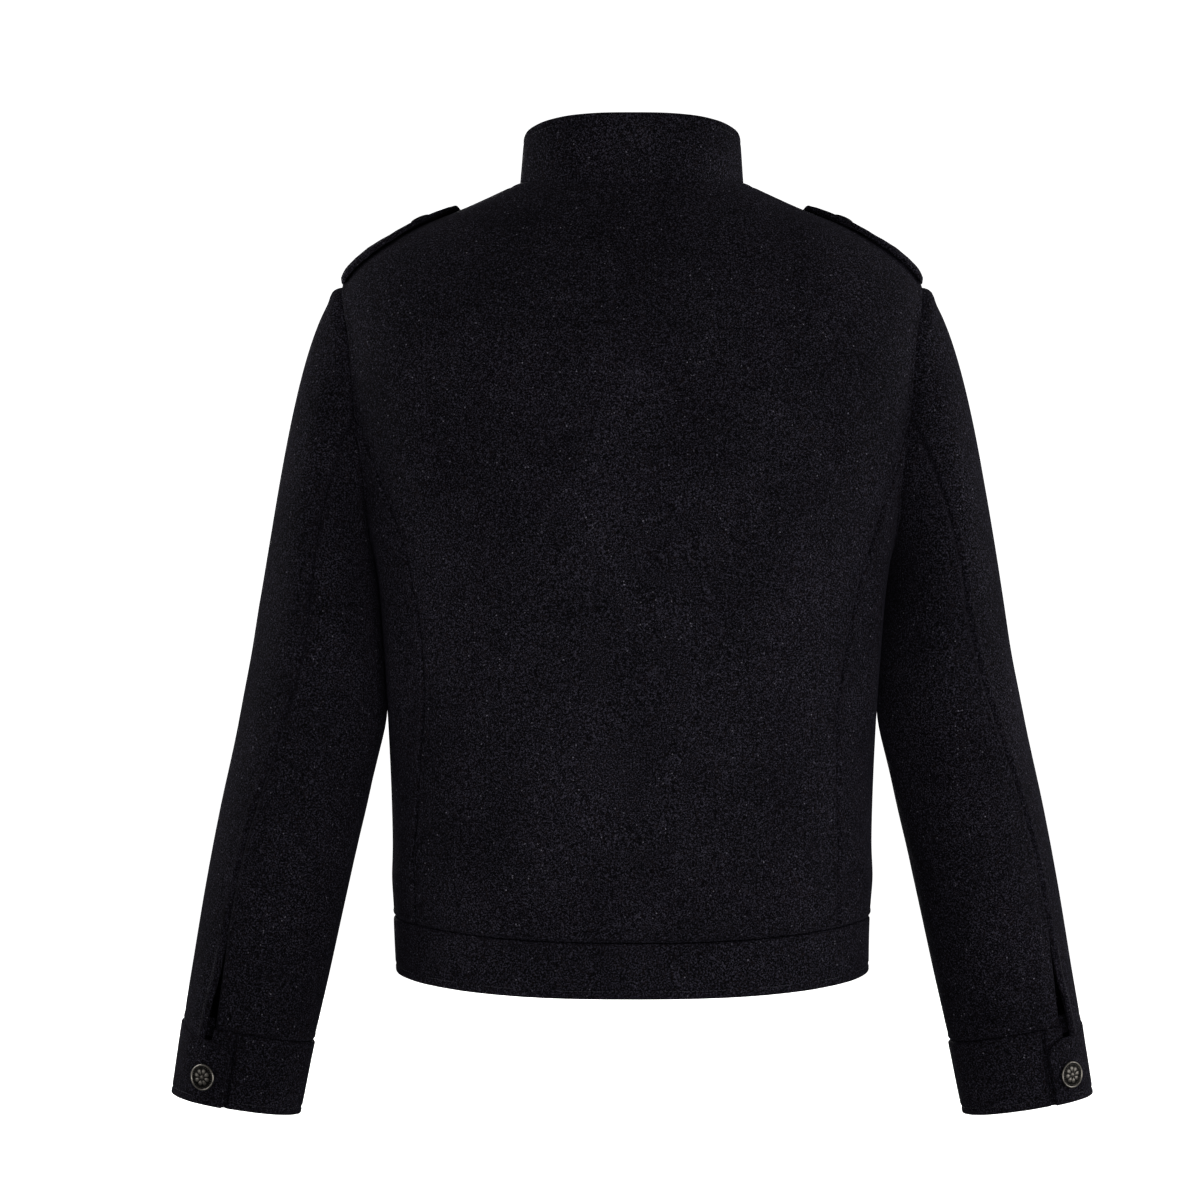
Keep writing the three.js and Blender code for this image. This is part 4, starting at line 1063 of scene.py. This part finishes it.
def strap_place_of(flip):
    """A strap's place function on one side of the body."""

    def place(t, across, out):
        pressed = 0.4 + 0.6 * ease(np.asarray(t) / 0.07)  # it thins where it goes into the armhole seam
        return strap_point(t, 2 * np.asarray(across) - 1, (DOUBLED + out) * pressed) * flip

    return place


strap_places = {}
for hand, flip in SIDES.items():
    strap_places[hand] = strap_place_of(flip)
    strap = band(
        f"shoulder_strap_cloth_{hand}", 0.0, 1.0, strap_places[hand], (STITCH_INSET, -STITCH_INSET),
        lambda t, r: wobble(t * 3, r, 1.3, 0.3),
    )
    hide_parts(f"shoulder_strap_{hand}")

# Seam allowances
# The cut edges of the waist, princess and cuff seams, pressed flat inside them as thin strips of the same
# melton. They close each seam against the light.

ALLOWANCE, ALLOWANCE_WALL = 7.0, 1.0  # on each side of the seam, and thickness


def seam_allowance(name, line, inward, depths):
    """A strip along a seam line, at a depth for each of five lines across it."""
    side = unit(np.cross(np.gradient(line, axis=0), inward))
    shares = np.array([-1, -0.35, 0, 0.35, 1])[:, None, None]
    deep = np.array(depths)[:, None, None] - body_out(line)[None, :, None]
    face = line + side * shares * ALLOWANCE + inward * deep
    strip = cloth_shell(name, face, np.broadcast_to(inward, face.shape), ALLOWANCE_WALL)


waist_turns = np.linspace(-2.6, 3.04, 300)
seam_allowance(
    "waist_allowance", ring_point(waist_turns, WAIST), -body_normal(waist_turns, WAIST),
    (3.2, 4.2, 5.0, 5.0, 5.0),
)
for hand, flip in SIDES.items():
    low_part = seam_sides[seam_sides > WAIST + 9]
    turns = princess_turn(low_part, hand)
    seam_allowance(
        f"princess_allowance_{hand}", ring_point(turns, low_part) * flip,
        -body_normal(turns, low_part) * flip, (4.4, 4.8, 6.3, 4.8, 4.4),
    )
    angles = np.linspace(1, 359, 160)
    ring = arm_point(angles, CUFF_TOP)
    seam_allowance(
        f"cuff_allowance_{hand}", ring * flip, unit(arm_point(angles, CUFF_TOP, -1) - ring) * flip,
        (3.4, 3.8, 4.2, 3.8, 3.4),
    )

# Stitching
# Black polyester topstitching, three stitches to the centimetre, sunk in the nap. The eye catches only a
# broken line of slightly glossier thread.

STITCH_PITCH, STITCH_LENGTH, THREAD = 3.4, 2.7, 0.5
THREAD_OUT = 0.05 - STITCH_SINK  # the thread's middle, from the cloth's face


def polyester_thread():
    made, place = surface("polyester_thread")
    twist = node(made, "ShaderNodeTexNoise", Vector=place, Scale=1000 / THREAD, Detail=2.0).outputs["Fac"]
    colour = node(made, "ShaderNodeMix", MIX, numbered={
        SHARE: twist, FIRST: linear("#0d0d12"), SECOND: linear("#26252d"),
    })
    bump = node(made, "ShaderNodeBump", Strength=0.4, Distance=0.0001, Height=twist)
    shader = node(
        made, "ShaderNodeBsdfPrincipled", Base_Color=colour.outputs[MIXED], Normal=bump.outputs["Normal"],
        Roughness=0.55, Specular_IOR_Level=0.3,
    )
    node(made, "ShaderNodeOutputMaterial", Surface=shader.outputs["BSDF"])
    return made


thread = polyester_thread()


def stitch_row(line, normals, pitch=STITCH_PITCH, length=STITCH_LENGTH, across=False):
    """Vertices and faces of a row of stitches, along a line or, for a buttonhole, across it."""
    run = np.concatenate([[0], np.cumsum(np.linalg.norm(np.diff(line, axis=0), axis=1))])
    vertices, faces = [], []
    for at in np.arange(pitch / 2, run[-1], pitch):
        here = np.array([np.interp(at, run, line[:, i]) for i in range(3)])
        ahead = np.array([np.interp(min(at + 0.5, run[-1]), run, line[:, i]) for i in range(3)])
        behind = np.array([np.interp(max(at - 0.5, 0), run, line[:, i]) for i in range(3)])
        up = unit(np.array([np.interp(at, run, normals[:, i]) for i in range(3)]))
        way = unit(ahead - behind)
        side = unit(np.cross(up, way))
        if across:
            way, side = side, way
        first = len(vertices)
        for share, thick in ((-0.5, 0.25), (-0.3, 0.9), (0.3, 0.9), (0.5, 0.25)):
            for turn in range(6):
                a = math.radians(60 * turn)
                lift = math.sin(a) * 0.7 + 0.15 - 1.4 * share * share
                vertices.append(
                    here + way * share * length + (side * math.cos(a) + up * lift) * thick * THREAD / 2
                )
        for ring in range(3):
            for turn in range(6):
                a, b = first + ring * 6 + turn, first + ring * 6 + (turn + 1) % 6
                faces.append((a, b, b + 6, a + 6))
        faces.append(tuple(first + turn for turn in reversed(range(6))))
        faces.append(tuple(first + 18 + turn for turn in range(6)))
    return vertices, faces


def stitching(name, rows):
    vertices, faces = [], []
    for more, quads in rows:
        first = len(vertices)
        vertices += more
        faces += [tuple(first + v for v in quad) for quad in quads]
    return piece(name, vertices, faces, thread)


def stitches_on(place, turns, across):
    """A row of stitches on a band's face."""
    nought = np.zeros(turns.shape)
    normals = unit(place(turns, across, nought + 1) - place(turns, across, nought))
    return stitch_row(place(turns, across, nought + THREAD_OUT), normals)


def band_stitches(place, turns, inset):
    """A row of stitches along a band, at a distance from its top or, below 0, from its foot."""
    share = inset / band_height(place, turns)
    return stitches_on(place, turns, share if inset >= 0 else 1 + share)


def end_stitches(place, turn, step, start=0.14, stop=0.86):
    """A row of stitches up the end of a band, one inset from it."""
    across = np.linspace(start, stop, 40)
    turns = np.full(across.shape, turn)
    here, beyond = place(turns, across, np.zeros(40)), place(turns + step, across, np.zeros(40))
    inset = STITCH_INSET / np.linalg.norm(beyond - here, axis=1) * step
    return stitches_on(place, turns + inset, across)


stitching("collar_stitches", [
    band_stitches(collar_point, np.linspace(collar_from, collar_to, 300)[5:-5], STITCH_INSET),
    end_stitches(collar_point, collar_from, 0.01),
    end_stitches(collar_point, collar_to, -0.01),
])
stitching("waistband_stitches", [
    band_stitches(waistband_point, np.linspace(band_from, band_to, 500)[4:-6], -STITCH_INSET),
    end_stitches(waistband_point, band_to, -0.01),
])
for hand in ("left", "right"):
    place, start, stop = cuff_places[hand]
    stitching(f"cuff_stitches_{hand}", [
        band_stitches(place, np.linspace(start, stop, 240)[3:-8], -STITCH_INSET),
        end_stitches(place, stop, -0.5, 0.2, 0.86),
    ])
    stitching(f"vent_stitches_{hand}", [stitch_row(*vent_lines[hand])])
    place, steps = strap_places[hand], np.linspace(0.02, 0.94, 60)
    stitching(f"strap_stitches_{hand}", [
        band_stitches(place, steps, STITCH_INSET), band_stitches(place, steps, -STITCH_INSET),
        end_stitches(place, 1.0, -0.02, 0.3, 0.7),
    ])

# Front edge and buttonholes
# The buttoned edge is stitched like the bands, and each buttonhole is worked in close thread from the front
# centre towards the wearer's left, so its inner end shows beside its button.

BUTTON_HEIGHTS = (-104.0, -212.0, -320.0, -428.0, -536.0)
BUTTONHOLE, HOLE_PITCH, HOLE_STITCH = 25.0, 0.75, 2.0


def on_front(x, side, out):
    """A place on the left front at a distance past the front centre, which is 0."""
    half, square = read(body, "side", side, "half"), read(body, "side", side, "square")
    turn = math.pi - np.sign(x) * np.arcsin((np.abs(x) / half) ** (square / 2))
    base, normal = ring_point(turn, side), body_normal(turn, side)
    lift = body_out(base) + out
    return base + normal * lift[..., None], normal


edge_sides = np.linspace(-46, WAIST + 5, 300)
edge_line, edge_normals = on_front(np.full(300, -FRONT_EXTENSION + STITCH_INSET), edge_sides, -0.05)
hole_rows = [stitch_row(edge_line, edge_normals)]
for height in BUTTON_HEIGHTS:
    lap = np.radians(np.linspace(0, 360, 90))
    x = BUTTONHOLE / 2 - 1.5 + (BUTTONHOLE / 2 - 0.8) * np.cos(lap)
    line, normals = on_front(x, height + 1.1 * np.sin(lap), 0.15)
    hole_rows.append(stitch_row(line, normals, HOLE_PITCH, HOLE_STITCH, across=True))
stitching("front_stitches", hole_rows)

# Buttons
# Die-struck shank buttons with an antique silver finish: a roped rim, a ring of beads and a plain eight-leaf
# rosette, bright on top and darkened in the hollows.

BUTTON_RADIUS, SMALL_BUTTON_RADIUS = 10.5, 8.5
BUTTON_RINGS, BUTTON_SPOKES, BUTTON_TOP = 44, 120, 1.9
# The back and the shank, from the rim inwards: share of the radius, and height above the cloth
BUTTON_BACK = (
    (1.0, 2.0), (1.0, 1.6), (0.96, 1.2), (0.85, 1.0), (0.35, 1.0), (0.3, 0.9), (0.3, 0.3), (0.05, 0.3),
)


def antique_pewter():
    made, place = surface("antique_pewter")
    relief = node(made, "ShaderNodeAttribute", {"attribute_name": "relief"})
    grime = node(made, "ShaderNodeTexNoise", Vector=place, Scale=900.0, Detail=5.0).outputs["Fac"]
    spots = node(made, "ShaderNodeMix", MIX, numbered={
        SHARE: grime, FIRST: linear("#5f5b56"), SECOND: linear("#9a958d"),
    })
    worn = node(made, "ShaderNodeValToRGB", Fac=relief.outputs["Fac"], stops=[
        (0.25, [0, 0, 0, 1]), (0.75, [1, 1, 1, 1]),
    ])
    colour = node(made, "ShaderNodeMix", MIX, numbered={
        SHARE: worn.outputs["Color"], FIRST: linear("#1b1a19"), SECOND: spots.outputs[MIXED],
    })
    rough = node(made, "ShaderNodeMapRange", Value=grime, To_Min=0.3, To_Max=0.5)
    bump = node(made, "ShaderNodeBump", Strength=0.25, Distance=0.0001, Height=grime)
    shader = node(
        made, "ShaderNodeBsdfPrincipled", Base_Color=colour.outputs[MIXED], Normal=bump.outputs["Normal"],
        Roughness=rough.outputs["Result"], Metallic=1.0,
    )
    node(made, "ShaderNodeOutputMaterial", Surface=shader.outputs["BSDF"])
    return made


pewter = antique_pewter()


def button_relief(r, angle):
    """Height in millimetres of the struck face at a share of the radius, for a button of the full size."""
    rope = 0.1 * np.sin(angle * 36 + r * 30)
    rim = (0.75 + rope) * np.exp(-(((r - 0.92) / 0.055) ** 2))
    beads = 0.3 * np.exp(-(((r - 0.78) / 0.035) ** 2)) * (0.5 + 0.5 * np.cos(angle * 28))
    leaf = np.abs(np.cos(angle * 4)) ** 0.7
    leaves = 0.55 * leaf * np.exp(-(((r - 0.43) / (0.1 + 0.1 * leaf)) ** 2))
    vein = -0.16 * np.exp(-((np.sin(angle * 4) / 0.14) ** 2)) * np.exp(-(((r - 0.43) / 0.17) ** 2))
    boss = 0.6 * np.exp(-((r / 0.13) ** 2))
    return 0.5 * (1 - r**2) + rim + beads + leaves + vein + boss


def button(name, radius, point, normal, node_name):
    """A struck button on the cloth at a point. Its relief is kept on its vertices, for the finish."""
    scale = radius / BUTTON_RADIUS
    shares = np.concatenate([[0.02], np.linspace(0.05, 0.98, BUTTON_RINGS)])
    angle = np.radians(np.arange(BUTTON_SPOKES) * 360 / BUTTON_SPOKES)
    r, a = np.meshgrid(shares, angle, indexing="ij")
    face = BUTTON_TOP * scale + button_relief(r, a) * scale
    rows = [points(r * radius * np.cos(a), r * radius * np.sin(a), face)]
    for share, height in BUTTON_BACK:
        height = height * scale if height > 0.9 else height
        rows.append(points(share * radius * np.cos(angle), share * radius * np.sin(angle), height)[None])
    grid = np.concatenate(rows)
    turned = np.array(Vector((0, 0, 1)).rotation_difference(Vector(normal)).to_matrix())
    faces = grid_faces(len(grid), BUTTON_SPOKES, closed=True)
    last = (len(grid) - 1) * BUTTON_SPOKES
    faces.append(tuple(range(BUTTON_SPOKES)))
    faces.append(tuple(last + i for i in reversed(range(BUTTON_SPOKES))))
    made = piece(
        name, grid.reshape(-1, 3) @ turned.T + np.asarray(point), faces, pewter
    )
    reach = np.array([v.co for v in made.data.vertices]) * 1000 - point
    height = (reach @ np.asarray(normal)) / scale
    distance = np.linalg.norm(reach, axis=1) / radius
    worn = np.clip((height - BUTTON_TOP - 0.5 * (1 - np.minimum(distance, 1) ** 2)) / 0.6, 0, 1)
    made.data.attributes.new("relief", "FLOAT", "POINT").data.foreach_set("value", worn.astype(np.float32))
    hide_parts(node_name)


for i, height in enumerate(BUTTON_HEIGHTS):
    place, normal = on_front(np.zeros(1), np.full(1, height), 0)
    button(f"front_button_struck_{i + 1}", BUTTON_RADIUS, place[0], normal[0], f"front_button_{i + 1}")
band_middle = waistband_point(np.array([3 * math.pi]), np.array([0.5]), np.zeros(1))[0]
button("waistband_button_struck", BUTTON_RADIUS, band_middle, (0, -1, 0), "waistband_button")
for hand, flip in SIDES.items():
    seam = float(elbow_angle(CUFF_BOTTOM, hand)) + CUFF_BUTTON_PAST
    down = CUFF_TOP + (CUFF_BOTTOM - CUFF_TOP) * CUFF_BUTTON_AT
    lift = float(cuff_lift(seam + 360, float(elbow_angle(CUFF_TOP, hand))))
    on_cuff = arm_point(seam, down, lift)
    across = arm_point(seam + 1, down, lift) - arm_point(seam - 1, down, lift)
    lengthwise = arm_point(seam, down + 1, lift) - arm_point(seam, down - 1, lift)
    normal = unit(np.cross(lengthwise, across))
    button(f"cuff_button_struck_{hand}", BUTTON_RADIUS, on_cuff * flip, normal * flip, f"cuff_button_{hand}")
    at = np.full(1, STRAP_BUTTON_AT)
    on_strap = strap_point(at, np.zeros(1), np.full(1, DOUBLED))[0]
    over = strap_point(at, np.full(1, 0.1), np.full(1, DOUBLED))[0] - on_strap
    inwards = strap_point(at + 0.02, np.zeros(1), np.full(1, DOUBLED))[0] - on_strap
    normal = unit(np.cross(over, inwards))
    button(
        f"strap_button_struck_{hand}", SMALL_BUTTON_RADIUS, on_strap * flip, normal * flip,
        f"strap_button_{hand}",
    )

# Camera, light and floor
# A soft light and a narrow one stand low beside the camera, tall soft ones at both sides and behind draw the
# jacket's edges, and more light comes from the front and above. The stage is white and lights nothing.

camera_data = bpy.data.cameras.new("camera")
camera_data.lens, camera_data.sensor_width = 122.6, 36.0
camera = bpy.data.objects.new("camera", camera_data)
camera.location = (0.025, 3.2, -0.326)
camera.rotation_euler = (math.pi / 2, 0, math.pi)
bpy.context.scene.collection.objects.link(camera)
bpy.context.scene.camera = camera


def soft_light(name, place, aim, width, height, power):
    data = bpy.data.lights.new(name, "AREA")
    data.shape, data.size, data.size_y = "RECTANGLE", width, height
    data.energy = power
    made = bpy.data.objects.new(name, data)
    made.location = place
    made.rotation_euler = (Vector(aim) - Vector(place)).to_track_quat("-Z", "Y").to_euler()
    bpy.context.scene.collection.objects.link(made)


soft_light("key", (-0.5, 2.2, -0.95), (0, 0, -0.4), 1.2, 1.2, 23)
soft_light("side_left", (1.9, 0.75, -0.1), (0, 0, -0.36), 0.7, 1.8, 6.5)
soft_light("side_right", (-1.9, 0.75, -0.1), (0, 0, -0.36), 0.7, 1.8, 13)
soft_light("rim_left", (1.7, -0.5, 0.2), (0.1, 0, -0.36), 0.6, 1.6, 15)
soft_light("rim_right", (-1.7, -0.5, 0.2), (-0.1, 0, -0.36), 0.6, 1.6, 13)
soft_light("front", (0.5, -2.7, 0.3), (0, 0, -0.36), 1.4, 1.4, 36)
soft_light("top", (0, 0.3, 1.5), (0, 0, 0), 1.2, 0.8, 3.7)
pool_light = bpy.data.lights.new("pool", "SPOT")
pool_light.energy, pool_light.shadow_soft_size = 105, 0.3
pool_light.spot_size, pool_light.spot_blend = math.radians(14), 1.0
pool = bpy.data.objects.new("pool", pool_light)
pool.location = (-0.25, 2.6, -0.95)
pool.rotation_euler = (Vector((0.02, 0.12, -0.37)) - pool.location).to_track_quat("-Z", "Y").to_euler()
bpy.context.scene.collection.objects.link(pool)
world = bpy.data.worlds.new("studio")
world.use_nodes = True
world.node_tree.nodes["Background"].inputs["Color"].default_value = (1.0, 1.0, 1.0, 1)
world.node_tree.nodes["Background"].inputs["Strength"].default_value = 0.05
bpy.context.scene.world = world
bpy.context.scene.view_settings.view_transform = "Standard"


def white_stage(name, mesh, glow):
    """Plain white stage that shows behind and below the jacket and throws no light on it."""
    made = bpy.data.objects.new(name, mesh)
    bpy.context.scene.collection.objects.link(made)
    made.visible_diffuse = made.visible_glossy = made.visible_shadow = False
    white, _ = surface(name)
    shader = node(
        white, "ShaderNodeBsdfPrincipled", Base_Color=linear("#f4f4f4"), Roughness=0.9,
        Emission_Color=(1, 1, 1, 1), Emission_Strength=glow,
    )
    node(white, "ShaderNodeOutputMaterial", Surface=shader.outputs["BSDF"])
    mesh.materials.append(white)


FLOOR, DOME = -0.9, 14.0
floor_mesh = bpy.data.meshes.new("floor")
corners = ((-DOME, -DOME), (DOME, -DOME), (DOME, DOME), (-DOME, DOME))
floor_mesh.from_pydata([(x, y, FLOOR) for x, y in corners], [], [(0, 1, 2, 3)])
white_stage("floor", floor_mesh, 1.05)
dome_mesh = bpy.data.meshes.new("backdrop")
dome = bmesh.new()
bmesh.ops.create_uvsphere(dome, u_segments=48, v_segments=24, radius=DOME)
dome.to_mesh(dome_mesh)
dome.free()
white_stage("backdrop", dome_mesh, 1.1)
